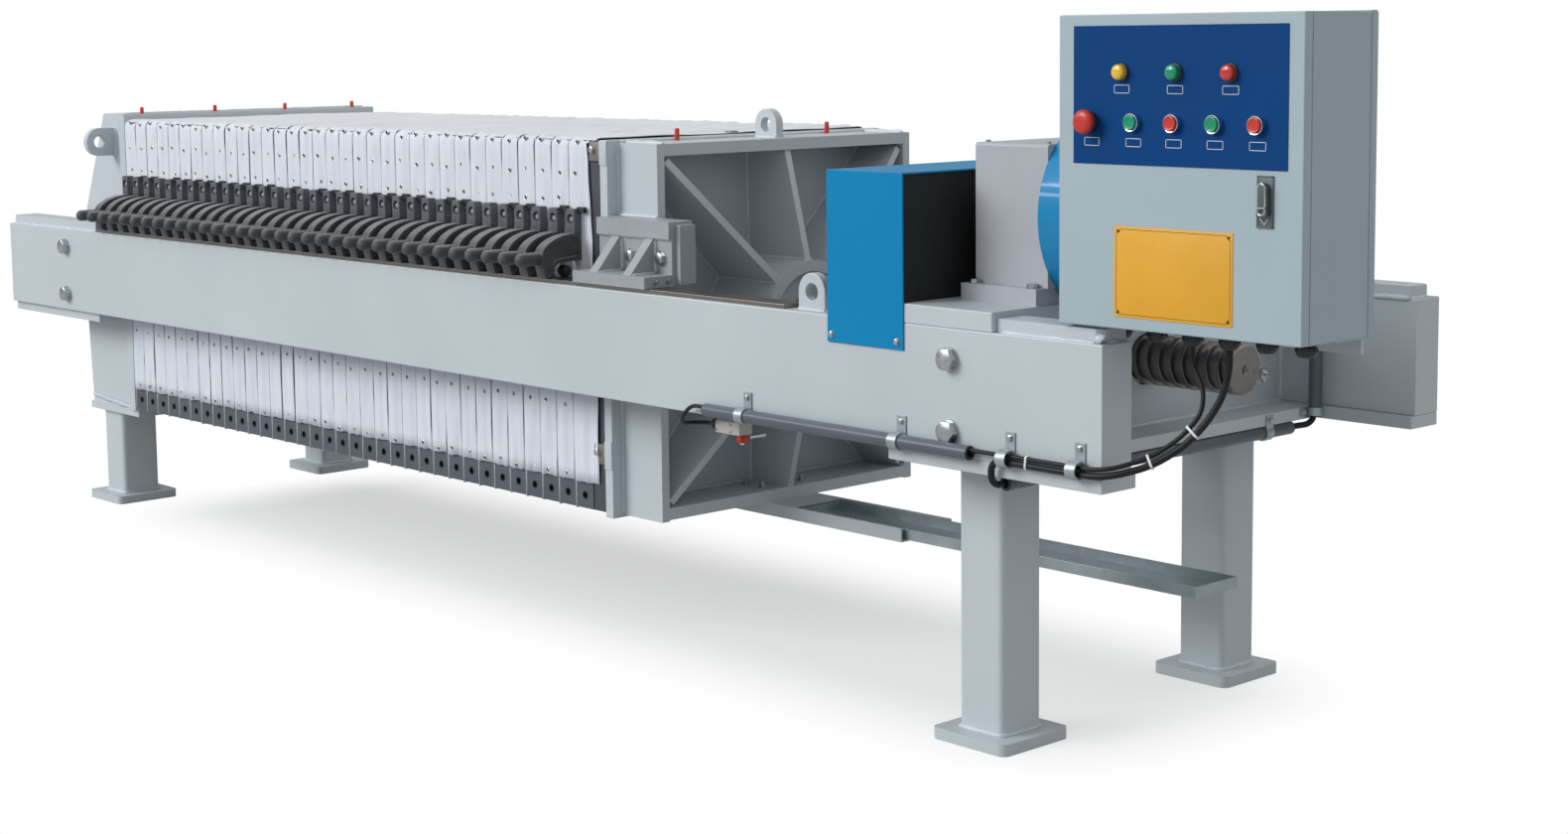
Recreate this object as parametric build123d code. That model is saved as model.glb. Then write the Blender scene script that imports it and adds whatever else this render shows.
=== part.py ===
from build123d import *
import os
from math import atan2, cos, degrees, hypot, pi, radians, sin, tan

# A plate filter press: two box beams on four legs hold a clamped pack of filter plates between a
# fixed thrust head and a ribbed press head, which a screw drives from the right-hand end.
# Millimetres. While it is drawn, X = 0 is the left legs' centre, Y = 0 the centre plane with the
# operator on the -Y side, Z = 0 the floor. The finished model is moved to the middle of its length.

# Legs
leg_size = 107
leg_corner = 12
foot_size = 180
foot_thickness = 22
foot_corner = 16
leg_spacing_x = 3324
leg_spacing_y = 645

# Beams, with the plates at their ends and the rails on top
beam_left = -340
beam_right = 3709
beam_height = 224
beam_width = 77
frame_width = 1000
beam_bottom = 552
end_plate_thickness = 24
end_plate_inset = 12
left_plate_right = 165
sole_left = 3215
sole_cross_right = 3490
prong_inset = 12
rail_thickness = 8
rail_inset = 10
rail_left_gap = 6
rail_right_gap = 20

# Lifting lugs
lug_thickness = 20
lug_hole = 16
beam_lug_x = 2988
beam_lug_radius = 36
beam_lug_height = 70
head_lug_radius = 38
head_lug_height = 86
head_lug_x = 90
head_lug_drop = 76
press_lug_radius = 34
press_lug_height = 62

# Thrust head at the left
thrust_plate = 34
thrust_face = 181
thrust_width = 800
thrust_top = 1092
thrust_bottom = 275
thrust_base = 20
thrust_overhang = 6
cheek_thickness = 20
thrust_cheek_out = 385
thrust_top_back = 33
thrust_mid_back = -112
thrust_low_back = -93
beam_pad_left = -70
beam_pad_right = 84
beam_pad_margin = 8
rib_thickness = 16
rib_step = 10
rib_weld = 6
feed_bore = 40
feed_wall = 30
feed_flange_radius = 100
feed_flange_thickness = 20
feed_bolt_circle = 165
feed_bolt_count = 8
feed_bolt_hole = 9
plug_radius = 6
plug_height = 18
plug_spacing = 224.5
plug_count = 4

# Plate pack
plate_count = 34
plate_pitch = 60
plate_size = 790
pack_centre_z = 676
cloth_sheet = 2.4
cloth_hood = 7
cloth_bottom = 58
cloth_tail = 4
tail_thickness = 45
outlet_radius = 9
outlet_depth = 30
outlet_height = 28
seat_gap = 0.3

# Plate handles
handle_width = 30
handle_top_over_beam = 169
handle_block = 18
handle_arm_over_beam = 108
handle_reach = 106
handle_grip_over_beam = 50
handle_grip_radius = 16
handle_grip_end = 51
handle_grip_sink = 4
handle_foot = 50
handle_toe = 10
handle_heel = 30

# Press head
press_plate = 25
press_plate_over = 6
press_plate_under = 8
head_depth = 127
head_width = 740
head_top = 1066
head_bottom = 280
head_flange = 25
cheek_under = 3
hub_radius = 130
hub_wall = 24
hub_rise = 68
hub_floor = 30
pin_height = 26
pin_spacing = 440
pin_setback = 14
head_travel = 380

# Shoes that carry the press head on the rails
shoe_setback = 2
shoe_length = 234
shoe_base = 24
shoe_plate = 20
shoe_plate_y = 405
shoe_outer = 498
arm_over_rail = 96
arm_thickness = 35
arm_overhang = 8
gusset_thickness = 26
gusset_offsets = (49, 157)
gusset_top = 5
gusset_toe = 6
strip_thickness = 14
strip_gap = 4
strip_rise = 28
running_gap = 0.3

# Screw and crosshead
screw_radius = 47
screw_end = 3626
screw_chamfer = 4
nut_clearance = 1
nut_wall = 28
cross_left = 3252
cross_right = 3400
cross_plate = 25

# Drive on top of the crosshead
platform_left = 3075
platform_right = 3466
platform_thickness = 35
cover_left = 3063
cover_right = 3257
cover_top = 1042
cover_skirt = 727
cover_sheet = 3
gear_left = 3300
gear_overhang = 4
gear_near = -360
gear_far = -46
gear_top = 1092
gear_foot = 30
gear_foot_margin = 22
gear_foot_left = 16
gear_foot_right = 4
gear_corner = 6
guard_radius = 184
guard_corner = 10
guard_y = -203
guard_z = 966
guard_depth = 90
motor_radius = 88
motor_length = 205
motor_flange = 14
motor_flange_over = 6
motor_z = 940
terminal_length = 60
terminal_height = 50
terminal_reach = 38
terminal_sink = 16
terminal_setback = 70
terminal_gland_radius = 9
terminal_gland_length = 22

# Control cabinet
cabinet_left = 3616
cabinet_width = 481
cabinet_height = 506
cabinet_depth = 190
cabinet_front = -500
cabinet_lift = 6
cabinet_sheet = 2
door_thickness = 20
door_gap = 1
hinge_radius = 5
hinge_length = 50
hinge_leaf = 26
hinge_leaf_sheet = 2
hinge_spacing = 340
panel_left_margin = 32
panel_right_margin = 28
panel_top_margin = 18
panel_height = 222
panel_sheet = 1.5
lamp_radius = 15
lamp_length = 16
lamp_pitch = 107
lamp_shift = -3
lamp_drop = 74
button_radius = 12
button_length = 13
button_pitch = 80.4
button_shift = 35
button_drop = 154
bezel_radius = 15.5
bezel_height = 10
bezel_clearance = 0.5
button_travel = 4
stop_shift = -173.5
stop_cap_radius = 20
stop_cap_length = 15
stop_stem_length = 19
stop_bezel_radius = 16.5
latch_inset = 68
latch_drop = 48
latch_width = 30
latch_height = 80
latch_sheet = 3
lever_width = 18
lever_thickness = 9.7
lever_below = 22
lever_above = 30
gland_radius = 13
gland_length = 32
gland_setback = 95
gland_margin = 57
gland_count = 6
gland_clearance = 6
bracket_margin = 16
bracket_sheet = 8
bracket_left_gap = 6
bracket_back_margin = 60
bracket_back_sheet = 6
bracket_back_rise = 180

# Conduits and their clips
conduit_radius = 13
conduit_wall = 2
conduit_z = 566
conduit_stand = 2
run_left = 2734
run_right = 3428
cross_near_inset = 20
cross_far_gap = 52
cross_inset = 10
riser_lift = 8
riser_over_beam = 10
clip_xs = (2840, 3251, 3510, 3665)
clip_width = 22
clip_sheet = 3
clip_ear = 44
cross_clip_y = 262
riser_clip_ear = 34

# Cables. The motor's cable leaves a gland under the cabinet, lies in the clips along the near beam,
# turns down and in under the sole plate, passes through the conduits across the frame and up its
# far side, and lies on the platform on its way to the motor's terminal box. The limit switch's
# cable leaves the next gland, lies above it in the clips and passes through the near conduit.
cable_lead = 30
switch_cable_lead = 26
motor_cable_radius = 6
motor_cable_near = [
    (3885, -410, 700), (3864, -422, 658), (3834, -440, 618), (3788, -469, 582), (3726, -515, 560),
    (3478, -515, 560), (3478, -515, 514.7),
]
motor_cable_elbow = [(3478, 360, 514.7), (3500, 391, 519), (3503.3, 394.7, 556)]
motor_cable_far = [
    (3503.3, 394.7, 834), (3462, 372, 862), (3415, 348, 836), (3360, 318, 817.5),
    (3290, 262, 817.5), (3225, 170, 817.5), (3203, 60, 817.5), (3206, -20, 821), (3212, -75, 837),
]
switch_cable_radius = 4
switch_cable_points = [
    (3846, -410, 712), (3853, -421, 672), (3826, -437, 632), (3782, -465, 594), (3724, -515, 571),
    (2688, -515, 571), (2658, -515, 541), (2638, -492, 527), (2630, -461, 524),
]

# Limit switch under the near beam
switch_x = 2690
switch_y = -438
switch_length = 72
switch_height = 26
switch_width = 34
switch_top = 536
switch_mount_length = 40
switch_mount_inset = 5
switch_gland_radius = 9
switch_gland_length = 16
switch_hub_radius = 11
switch_hub_height = 16
switch_rod_radius = 2.5
switch_rod_gap = 6

# Drip tray
tray_width = 125
tray_depth = 22
tray_sheet = 3
tray_right = 3567
tray_left = 2512
tray_lid_gap = 10
channel_width = 150
channel_depth = 28
channel_sheet = 4
channel_length = 530
channel_inset = 4

# Places that follow from the sizes
half_frame = frame_width / 2
half_pack = plate_size / 2
half_head = head_width / 2
beam_inner = half_frame - beam_width
beam_top = beam_bottom + beam_height
rail_top = beam_top + rail_thickness
sole_bottom = beam_bottom - end_plate_thickness
plate_low = pack_centre_z - half_pack
plate_high = pack_centre_z + half_pack
hood_side = half_pack + seat_gap + cloth_hood
hood_top = plate_high + seat_gap + cloth_hood
pack_right = thrust_face + plate_count * plate_pitch
tail_left = pack_right + cloth_sheet + seat_gap
press_left = tail_left + tail_thickness + seat_gap
head_left = press_left + press_plate
head_right = head_left + head_depth
hub_right = head_right + hub_rise
platform_top = beam_top + platform_thickness
gear_right = platform_right + gear_overhang
guard_right = gear_right + guard_depth
end_plate_top = beam_top + end_plate_thickness
cabinet_bottom = end_plate_top + cabinet_lift
cabinet_top = cabinet_bottom + cabinet_height
cabinet_right = cabinet_left + cabinet_width
cabinet_back = cabinet_front + cabinet_depth
door_back = cabinet_front + door_thickness
panel_left = cabinet_left + panel_left_margin
panel_right = cabinet_right - panel_right_margin
panel_top = cabinet_top - panel_top_margin
panel_face = cabinet_front - panel_sheet
gland_y = cabinet_front + gland_setback
gland_step = (cabinet_width - 2 * gland_margin) / (gland_count - 1)
gland_xs = [cabinet_left + gland_margin + i * gland_step for i in range(gland_count)]
conduit_y = -half_frame - conduit_radius - conduit_stand
cross_x = sole_cross_right - cross_inset
cross_z = sole_bottom - conduit_radius - seat_gap
riser_x = sole_cross_right + conduit_radius + seat_gap
riser_y = beam_inner - prong_inset - conduit_radius - clip_sheet - seat_gap
terminal_x = gear_left - motor_flange - terminal_setback
terminal_y = guard_y + motor_radius + terminal_reach / 2
channel_floor = head_bottom - channel_depth + channel_sheet
length_centre = (beam_left + cabinet_right) / 2


def block(x, y, z):
    """A box between two places on each axis."""
    centre = Pos((x[0] + x[1]) / 2, (y[0] + y[1]) / 2, (z[0] + z[1]) / 2)
    return centre * Box(x[1] - x[0], y[1] - y[0], z[1] - z[0])


def rod_x(radius, x, y, z):
    """A round bar along X."""
    return Pos((x[0] + x[1]) / 2, y, z) * Rot(0, 90, 0) * Cylinder(radius, x[1] - x[0])


def rod_y(radius, x, y, z):
    """A round bar along Y."""
    return Pos(x, (y[0] + y[1]) / 2, z) * Rot(90, 0, 0) * Cylinder(radius, y[1] - y[0])


def rod_z(radius, x, y, z):
    """A round bar along Z."""
    return Pos(x, y, (z[0] + z[1]) / 2) * Cylinder(radius, z[1] - z[0])


def about(middle, half):
    """The two places that lie half a width before and behind a middle."""
    return middle - half, middle + half


def past(span):
    """A span made 1 mm longer at each end, for a cutter."""
    return span[0] - 1, span[1] + 1


def far(shape):
    """The same piece on the far side of the centre plane."""
    return mirror(shape, about=Plane.XZ)


def plate_xz(points, y):
    """A flat plate cut to an outline in X and Z, between two places in Y."""
    outline = make_face(Polyline(*points, close=True))
    return Pos(0, y[1], 0) * extrude(Plane.XZ * outline, amount=y[1] - y[0])


def lug(radius, height):
    """A lifting lug that stands on Z = 0 in the XZ plane, with a round eye."""
    centre = height - radius
    shape = Pos(0, centre) * Circle(radius) + Pos(0, centre / 2) * Rectangle(2 * radius, centre)
    shape -= Pos(0, centre) * Circle(lug_hole)
    return extrude(Plane.XZ * shape, amount=lug_thickness / 2, both=True)


def save(name, *shapes):
    """Writes one piece, or a row of like pieces, moved to the middle of the length."""
    solids = [s for shape in shapes for s in shape.solids()]
    moved = [Pos(-length_centre, 0, 0) * s for s in solids]
    whole = moved[0] if len(moved) == 1 else Compound(children=moved)
    whole.label = name
    export_step(whole, f"parts/{name}.step")


# Legs
def leg(x, y, top):
    half = leg_size / 2
    tube = block(about(x, half), about(y, half), (foot_thickness, top))
    tube = fillet(tube.edges().filter_by(Axis.Z), leg_corner)
    half = foot_size / 2
    foot = block(about(x, half), about(y, half), (0, foot_thickness))
    return fillet(foot.edges().filter_by(Axis.Z), foot_corner) + tube


def make_legs():
    tops = {"left": (0, thrust_bottom - thrust_base), "right": (leg_spacing_x, sole_bottom)}
    for end, (x, top) in tops.items():
        save(f"near_{end}_leg", leg(x, -leg_spacing_y / 2, top))
        save(f"far_{end}_leg", leg(x, leg_spacing_y / 2, top))


# Beams, rails and plates at the beams' ends
def beam():
    web = block((beam_left, beam_right), (-half_frame, -beam_inner), (beam_bottom, beam_top))
    eye = lug(beam_lug_radius, beam_lug_height)
    return web + Pos(beam_lug_x, -half_frame + beam_width / 2, beam_top) * eye


def end_plates():
    y = (-half_frame + end_plate_inset, -beam_inner)
    above = (beam_top, end_plate_top)
    left_top = block((beam_left + end_plate_inset, left_plate_right), y, above)
    right_top = block((platform_right, beam_right - end_plate_inset), y, above)
    corner = right_top.edges().filter_by(Axis.Z).sort_by(Axis.X)[-2:].sort_by(Axis.Y)[0]
    right_top = chamfer(corner, end_plate_inset)
    left_bottom = block((beam_left, left_plate_right), y, (sole_bottom, beam_bottom))
    return [left_top, right_top, left_bottom]


def sole_plate():
    z = (sole_bottom, beam_bottom)
    whole = block((sole_left, beam_right), (-half_frame, half_frame), z)
    return whole - block((sole_cross_right, beam_right + 1), about(0, beam_inner - prong_inset), z)


def make_beams():
    near = beam()
    save("near_beam", near)
    save("far_beam", far(near))
    x = (left_plate_right + rail_left_gap, beam_lug_x - beam_lug_radius - rail_right_gap)
    rail = block(x, (-half_frame + rail_inset, -beam_inner - rail_inset), (beam_top, rail_top))
    save("slide_rails", rail, far(rail))
    plates = end_plates()
    save("beam_end_plates", *plates, *[far(p) for p in plates])
    save("sole_plate", sole_plate())


# Welded heads
def rib(angle, inner, outer, x_face, x_hub, x_rim):
    """A rib that stands on a head's plate and runs out from its hub to its rim."""
    web = make_face(Polyline((x_face, inner), (x_hub, inner), (x_rim, outer), (x_face, outer), close=True))
    web = extrude(Plane.XZ * web, amount=rib_thickness / 2, both=True)
    return Pos(0, 0, pack_centre_z) * Rot(angle, 0, 0) * web


def corner_reach(height, width):
    """How far a corner rib runs before its outer end would pass the head's walls."""
    return hypot(height, width) - rib_thickness / 2 * (width / height + height / width) / 2 - rib_weld


def thrust_ribs():
    back = thrust_face - thrust_plate
    hub_x = thrust_mid_back + rib_step
    top_x = thrust_top_back + rib_step
    low_x = thrust_low_back + 2 * rib_step
    inner = feed_bore + feed_wall - rib_weld
    inside = thrust_cheek_out - cheek_thickness
    up = thrust_top - cheek_thickness - pack_centre_z
    down = pack_centre_z - thrust_bottom
    high = degrees(atan2(inside, up))
    low = degrees(atan2(inside, down))
    shape = rib(0, inner, up, back, hub_x, top_x) + rib(180, inner, down, back, hub_x, low_x)
    for side in (-1, 1):
        shape += rib(side * high, inner, corner_reach(up, inside), back, hub_x, top_x)
        shape += rib(180 + side * low, inner, corner_reach(down, inside), back, hub_x, low_x)
        shape += rib(side * 90, inner, inside, back, hub_x, hub_x)
    return shape


def thrust_head():
    back = thrust_face - thrust_plate
    face = thrust_face - seat_gap
    shape = block((back, face), about(0, thrust_width / 2), (thrust_bottom, thrust_top))
    outline = [
        (back, thrust_top), (thrust_top_back, thrust_top), (thrust_mid_back, beam_top),
        (thrust_mid_back, beam_bottom), (thrust_low_back, thrust_bottom), (back, thrust_bottom),
    ]
    inside = thrust_cheek_out - cheek_thickness
    cheek = plate_xz(outline, (-thrust_cheek_out, -inside))
    shape += cheek + far(cheek)
    shape += block((thrust_top_back, back), about(0, inside), (thrust_top - cheek_thickness, thrust_top))
    shape += block(
        (thrust_low_back - thrust_overhang, face),
        about(0, thrust_cheek_out + thrust_overhang),
        (thrust_bottom - thrust_base, thrust_bottom),
    )
    pad_z = (beam_bottom + beam_pad_margin, beam_top - beam_pad_margin)
    pad = block((beam_pad_left, beam_pad_right), (-beam_inner, -thrust_cheek_out), pad_z)
    shape += pad + far(pad)
    shape += rod_x(feed_bore + feed_wall, (thrust_mid_back, back), 0, pack_centre_z)
    shape += thrust_ribs()
    shape -= rod_x(feed_bore, (thrust_mid_back - 1, thrust_face + 1), 0, pack_centre_z)
    eye = Rot(0, 90, 0) * Rot(90, 0, 0) * lug(head_lug_radius, head_lug_height)
    eye = Pos(head_lug_x, -thrust_cheek_out, thrust_top - head_lug_drop) * eye
    return shape + eye + far(eye)


def feed_flange():
    x = (thrust_mid_back - feed_flange_thickness, thrust_mid_back)
    disc = rod_x(feed_flange_radius, x, 0, pack_centre_z)
    disc -= rod_x(feed_bore, past(x), 0, pack_centre_z)
    for i in range(feed_bolt_count):
        turn = 2 * pi * (i + 0.5) / feed_bolt_count
        y = feed_bolt_circle / 2 * cos(turn)
        z = pack_centre_z + feed_bolt_circle / 2 * sin(turn)
        disc -= rod_x(feed_bolt_hole, past(x), y, z)
    return disc


def make_thrust_head():
    save("thrust_head", thrust_head())
    save("feed_flange", feed_flange())
    x = thrust_face - thrust_plate / 2
    z = (thrust_top, thrust_top + plug_height)
    ys = [(i - (plug_count - 1) / 2) * plug_spacing for i in range(plug_count)]
    save("thrust_head_plugs", *[rod_z(plug_radius, x, y, z) for y in ys])


# Plate pack
def filter_plate(i):
    left = thrust_face + i * plate_pitch + cloth_sheet + seat_gap
    right = thrust_face + (i + 1) * plate_pitch - seat_gap
    body = block((left, right), about(0, half_pack), (plate_low, plate_high))
    y = (-half_pack - 1, -half_pack + outlet_depth)
    outlet = rod_y(outlet_radius, (left + right) / 2, y, plate_low + outlet_height)
    return body - outlet - far(outlet)


def filter_cloth(i):
    """A sheet in front of the plate, whose upper part wraps the plate's top and sides."""
    left = thrust_face + i * plate_pitch
    right = left + plate_pitch - seat_gap
    low = plate_low + cloth_bottom
    hood = block((left, right), about(0, hood_side), (low, hood_top))
    hood -= block((left + cloth_sheet, right + 1), about(0, half_pack + seat_gap), (low - 1, plate_high + seat_gap))
    return hood + block((left, left + cloth_sheet), about(0, half_pack), (plate_low - cloth_tail, low))


def handle(i):
    """A moulded handle: bolted block, quarter-round arm, foot on the rail and a round grip."""
    top = beam_top + handle_top_over_beam
    arm = beam_top + handle_arm_over_beam
    grip_z = beam_top + handle_grip_over_beam
    inner = hood_side + seat_gap
    outer = inner + handle_reach
    step = inner + handle_block
    toe = outer - handle_toe
    edge = Line((-inner, top), (-step, top))
    edge += Line((-step, top), (-step, arm))
    edge += EllipticalCenterArc((-step, grip_z), outer - step, arm - grip_z, start_angle=90, arc_size=90)
    edge += Polyline(
        (-outer, grip_z), (-toe, rail_top), (-toe + handle_foot, rail_top),
        (-inner, rail_top + handle_heel), (-inner, top),
    )
    body = extrude(Plane.YZ * make_face(edge), amount=handle_width / 2, both=True)
    grip_y = (-half_frame - handle_grip_end, -outer + handle_grip_sink)
    body += rod_y(handle_grip_radius, 0, grip_y, grip_z)
    return Pos(thrust_face + (i + 0.5) * plate_pitch, 0, 0) * body


def make_pack():
    save("filter_plates", *[filter_plate(i) for i in range(plate_count)])
    save("filter_cloths", *[filter_cloth(i) for i in range(plate_count)])
    x = (tail_left, tail_left + tail_thickness)
    save("tail_plate", block(x, about(0, half_pack), (plate_low, plate_high)))
    handles = [handle(i) for i in range(plate_count)]
    save("near_handles", *handles)
    save("far_handles", *[far(h) for h in handles])


# Press head
def head_frame():
    x = (head_left, head_right)
    inside = half_head - cheek_thickness
    cheek = block(x, (-half_head, -inside), (head_bottom - cheek_under, head_top))
    shape = cheek + far(cheek)
    shape += block(x, about(0, inside), (head_top - head_flange, head_top))
    shape += block(x, about(0, inside), (head_bottom, head_bottom + head_flange))
    shape += rod_x(hub_radius, (head_left, hub_right), 0, pack_centre_z)
    inner = hub_radius - rib_weld
    hub_x = hub_right - rib_step
    rim_x = head_right - rib_weld
    up = head_top - head_flange - pack_centre_z
    down = pack_centre_z - head_bottom - head_flange
    for height, base in ((up, 0), (down, 180)):
        shape += rib(base, inner, height, head_left, hub_x, rim_x)
        slant = degrees(atan2(inside, height))
        for side in (-1, 1):
            shape += rib(base + side * slant, inner, corner_reach(height, inside), head_left, hub_x, rim_x)
    for angle in (90, -90):
        shape += rib(angle, inner, inside, head_left, hub_x, rim_x)
    shape -= rod_x(hub_radius - hub_wall, (hub_right - hub_floor, hub_right + 1), 0, pack_centre_z)
    return shape + Pos(head_left + head_depth / 2, 0, head_top) * lug(press_lug_radius, press_lug_height)


def shoe():
    """The near shoe: arm off the cheek, upright plate, two gussets and the base on the rail."""
    left = head_left + shoe_setback
    x = (left, left + shoe_length)
    low = rail_top + running_gap
    arm_low = rail_top + arm_over_rail
    face = -shoe_plate_y - shoe_plate
    shape = block(x, (face - arm_overhang, -half_head), (arm_low, arm_low + arm_thickness))
    shape += block(x, (-shoe_outer, -shoe_plate_y), (low, low + shoe_base))
    shape += block(x, (face, -shoe_plate_y), (low, arm_low))
    web = Polyline(
        (face, arm_low), (face - gusset_top, arm_low),
        (-shoe_outer + gusset_toe, low + shoe_base), (face, low + shoe_base), close=True,
    )
    gusset = extrude(Plane.YZ * make_face(web), amount=gusset_thickness)
    for offset in gusset_offsets:
        shape += Pos(left + offset, 0, 0) * gusset
    y = (face + shoe_plate / 2, -half_head - strip_gap)
    return shape + block((x[1], x[1] + strip_thickness), y, (low + strip_gap, arm_low + strip_rise))


def tray_channel():
    """The folded channel under the press head, with a lid in front of the tray."""
    x = (head_left + channel_inset, head_left + channel_inset + channel_length)
    half = channel_width / 2
    low = head_bottom - channel_depth
    shape = block(x, about(0, half), (low, head_bottom))
    shape -= block(past(x), about(0, half - channel_sheet), (channel_floor, head_bottom + 1))
    lid = (x[0], tray_left - tray_lid_gap)
    return shape + block(lid, about(0, half - channel_sheet), (head_bottom - channel_sheet, head_bottom))


def drip_tray():
    half = tray_width / 2
    top = channel_floor + tray_depth
    shape = block((tray_left, tray_right), about(0, half), (channel_floor, top))
    x = (tray_left + tray_sheet, tray_right - tray_sheet)
    return shape - block(x, about(0, half - tray_sheet), (channel_floor + tray_sheet, top + 1))


def make_press_head():
    z = (head_bottom - press_plate_under, head_top + press_plate_over)
    save("press_plate", block((press_left, head_left), about(0, thrust_width / 2), z))
    save("press_head_frame", head_frame())
    x = head_left + pin_setback
    ends = (head_top, head_top + pin_height)
    save("press_head_plugs", *[rod_z(plug_radius, x, y, ends) for y in about(0, pin_spacing / 2)])
    near = shoe()
    save("near_shoe", near)
    save("far_shoe", far(near))
    save("tray_bracket", tray_channel())
    save("drip_tray", drip_tray())
    screw = rod_x(screw_radius, (hub_right - hub_floor, screw_end), 0, pack_centre_z)
    tail = screw.edges().filter_by(GeomType.CIRCLE).sort_by(Axis.X)[-1]
    save("press_screw", chamfer(tail, screw_chamfer))


# Crosshead and drive
def crosshead():
    x = (cross_left, cross_right)
    shape = block(x, about(0, beam_inner), (beam_bottom, beam_top))
    shape -= block(
        (cross_left + cross_plate, cross_right - cross_plate),
        about(0, beam_inner - cross_plate),
        (beam_bottom + cross_plate, beam_top - cross_plate),
    )
    shape += rod_x(screw_radius + nut_clearance + nut_wall, x, 0, pack_centre_z)
    return shape - rod_x(screw_radius + nut_clearance, past(x), 0, pack_centre_z)


def motor_cover():
    x = (cover_left, cover_right)
    inner = half_frame + seat_gap
    shape = block(x, about(0, inner + cover_sheet), (cover_skirt, cover_top))
    return shape - block(past(x), about(0, inner), (cover_skirt - 1, cover_top - cover_sheet))


def gearbox():
    foot = block(
        (gear_left - gear_foot_left, platform_right - gear_foot_right),
        (gear_near - gear_foot_margin, gear_far + gear_foot_margin),
        (platform_top, platform_top + gear_foot),
    )
    case = block((gear_left, gear_right), (gear_near, gear_far), (platform_top + gear_foot, gear_top))
    return foot + fillet(case.edges().filter_by(Axis.X).sort_by(Axis.Z)[-2:], gear_corner)


def drive_guard():
    drum = rod_x(guard_radius, (gear_right, guard_right), guard_y, guard_z)
    rim = drum.edges().filter_by(GeomType.CIRCLE).sort_by(Axis.X)[-1]
    return fillet(rim, guard_corner)


def drive_motor():
    """The motor on the gearbox's left face, with its terminal box on the far side."""
    joint = gear_left - motor_flange
    body = rod_x(motor_radius, (gear_left - motor_length, joint), guard_y, motor_z)
    body += rod_x(motor_radius + motor_flange_over, (joint, gear_left), guard_y, motor_z)
    side = guard_y + motor_radius
    y = (side - terminal_sink, side + terminal_reach)
    return body + block(about(terminal_x, terminal_length / 2), y, about(motor_z, terminal_height / 2))


def make_drive():
    save("crosshead", crosshead())
    z = (beam_top, platform_top)
    save("drive_platform", block((platform_left, platform_right), about(0, half_frame), z))
    save("motor_cover", motor_cover())
    save("gearbox", gearbox())
    save("drive_guard", drive_guard())
    save("drive_motor", drive_motor())


# Control cabinet
def cabinet_body():
    x = (cabinet_left, cabinet_right)
    y = (door_back + door_gap, cabinet_back)
    z = (cabinet_bottom, cabinet_top)
    s = cabinet_sheet
    return block(x, y, z) - block((x[0] + s, x[1] - s), (y[0] - 1, y[1] - s), (z[0] + s, z[1] - s))


def cabinet_door():
    x = (cabinet_left, cabinet_right)
    z = (cabinet_bottom, cabinet_top)
    s = cabinet_sheet
    tray = block((x[0] + s, x[1] - s), (cabinet_front + s, door_back + 1), (z[0] + s, z[1] - s))
    return block(x, (cabinet_front, door_back), z) - tray


def cabinet_hinge(middle):
    """A hinge: barrel beside the door's left edge and a leaf on the cabinet's side."""
    y = door_back + door_gap / 2
    z = about(middle, hinge_length / 2)
    barrel = rod_z(hinge_radius, cabinet_left - hinge_radius - seat_gap, y, z)
    return barrel + block((cabinet_left - hinge_leaf_sheet, cabinet_left), (y + door_gap / 2, y + hinge_leaf), z)


def cabinet_bracket():
    """An angled seat on the near beam's end plate that carries the cabinet beyond the beam."""
    z = (end_plate_top, cabinet_bottom)
    left = cabinet_left + bracket_left_gap
    right = cabinet_right - bracket_margin
    front = -half_frame + 2 * end_plate_inset
    seat_right = beam_right - end_plate_inset - gland_clearance
    first_gland = gland_xs[0] - gland_radius - gland_clearance
    seat = block((left, seat_right), (front, -beam_inner), z)
    seat += block((left, first_gland), (front, cabinet_back), z)
    seat += block((left, right), (gland_y + gland_radius + gland_clearance, cabinet_back), z)
    y = (cabinet_back - bracket_sheet, cabinet_back)
    seat += block((beam_right + bracket_left_gap, right), y, (beam_top, cabinet_bottom))
    x = (cabinet_left + bracket_back_margin, cabinet_right - bracket_back_margin)
    back = (cabinet_back, cabinet_back + bracket_back_sheet)
    return seat + block(x, back, (end_plate_top, cabinet_bottom + bracket_back_rise))


def collar(radius, x, z):
    """A ring on the panel round a button."""
    ring = rod_y(radius, x, (panel_face - bezel_height, panel_face), z)
    bore = (panel_face - bezel_height - 1, panel_face + 1)
    return ring - rod_y(button_radius + bezel_clearance, x, bore, z)


def make_panel():
    x = (panel_left, panel_right)
    save("operator_panel", block(x, (panel_face, cabinet_front), (panel_top - panel_height, panel_top)))
    centre = (panel_left + panel_right) / 2
    y = (panel_face - lamp_length, panel_face)
    lamp_xs = [centre + lamp_shift + i * lamp_pitch for i in (-1, 0, 1)]
    save("indicator_lamps", *[rod_y(lamp_radius, x, y, panel_top - lamp_drop) for x in lamp_xs])
    z = panel_top - button_drop
    inner = panel_face - button_travel - seat_gap
    names = ["press_start_button", "press_stop_button", "return_start_button", "return_stop_button"]
    rings = []
    for i, name in enumerate(names):
        x = centre + button_shift + (i - 1.5) * button_pitch
        rings.append(collar(bezel_radius, x, z))
        save(name, rod_y(button_radius, x, (panel_face - button_length, inner), z))
    x = centre + stop_shift
    rings.append(collar(stop_bezel_radius, x, z))
    save("button_bezels", *rings)
    under_cap = panel_face - stop_stem_length
    stop = rod_y(button_radius, x, (under_cap, inner), z)
    save("emergency_stop", stop + rod_y(stop_cap_radius, x, (under_cap - stop_cap_length, under_cap), z))


def make_latch():
    x = cabinet_right - latch_inset
    z = panel_top - panel_height - latch_drop
    y = (cabinet_front - latch_sheet, cabinet_front)
    save("latch_plate", block(about(x, latch_width / 2), y, about(z, latch_height / 2)))
    face = cabinet_front - latch_sheet - seat_gap
    lever = block(about(x, lever_width / 2), (face - lever_thickness, face), (z - lever_below, z + lever_above))
    save("latch_lever", lever)


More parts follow.
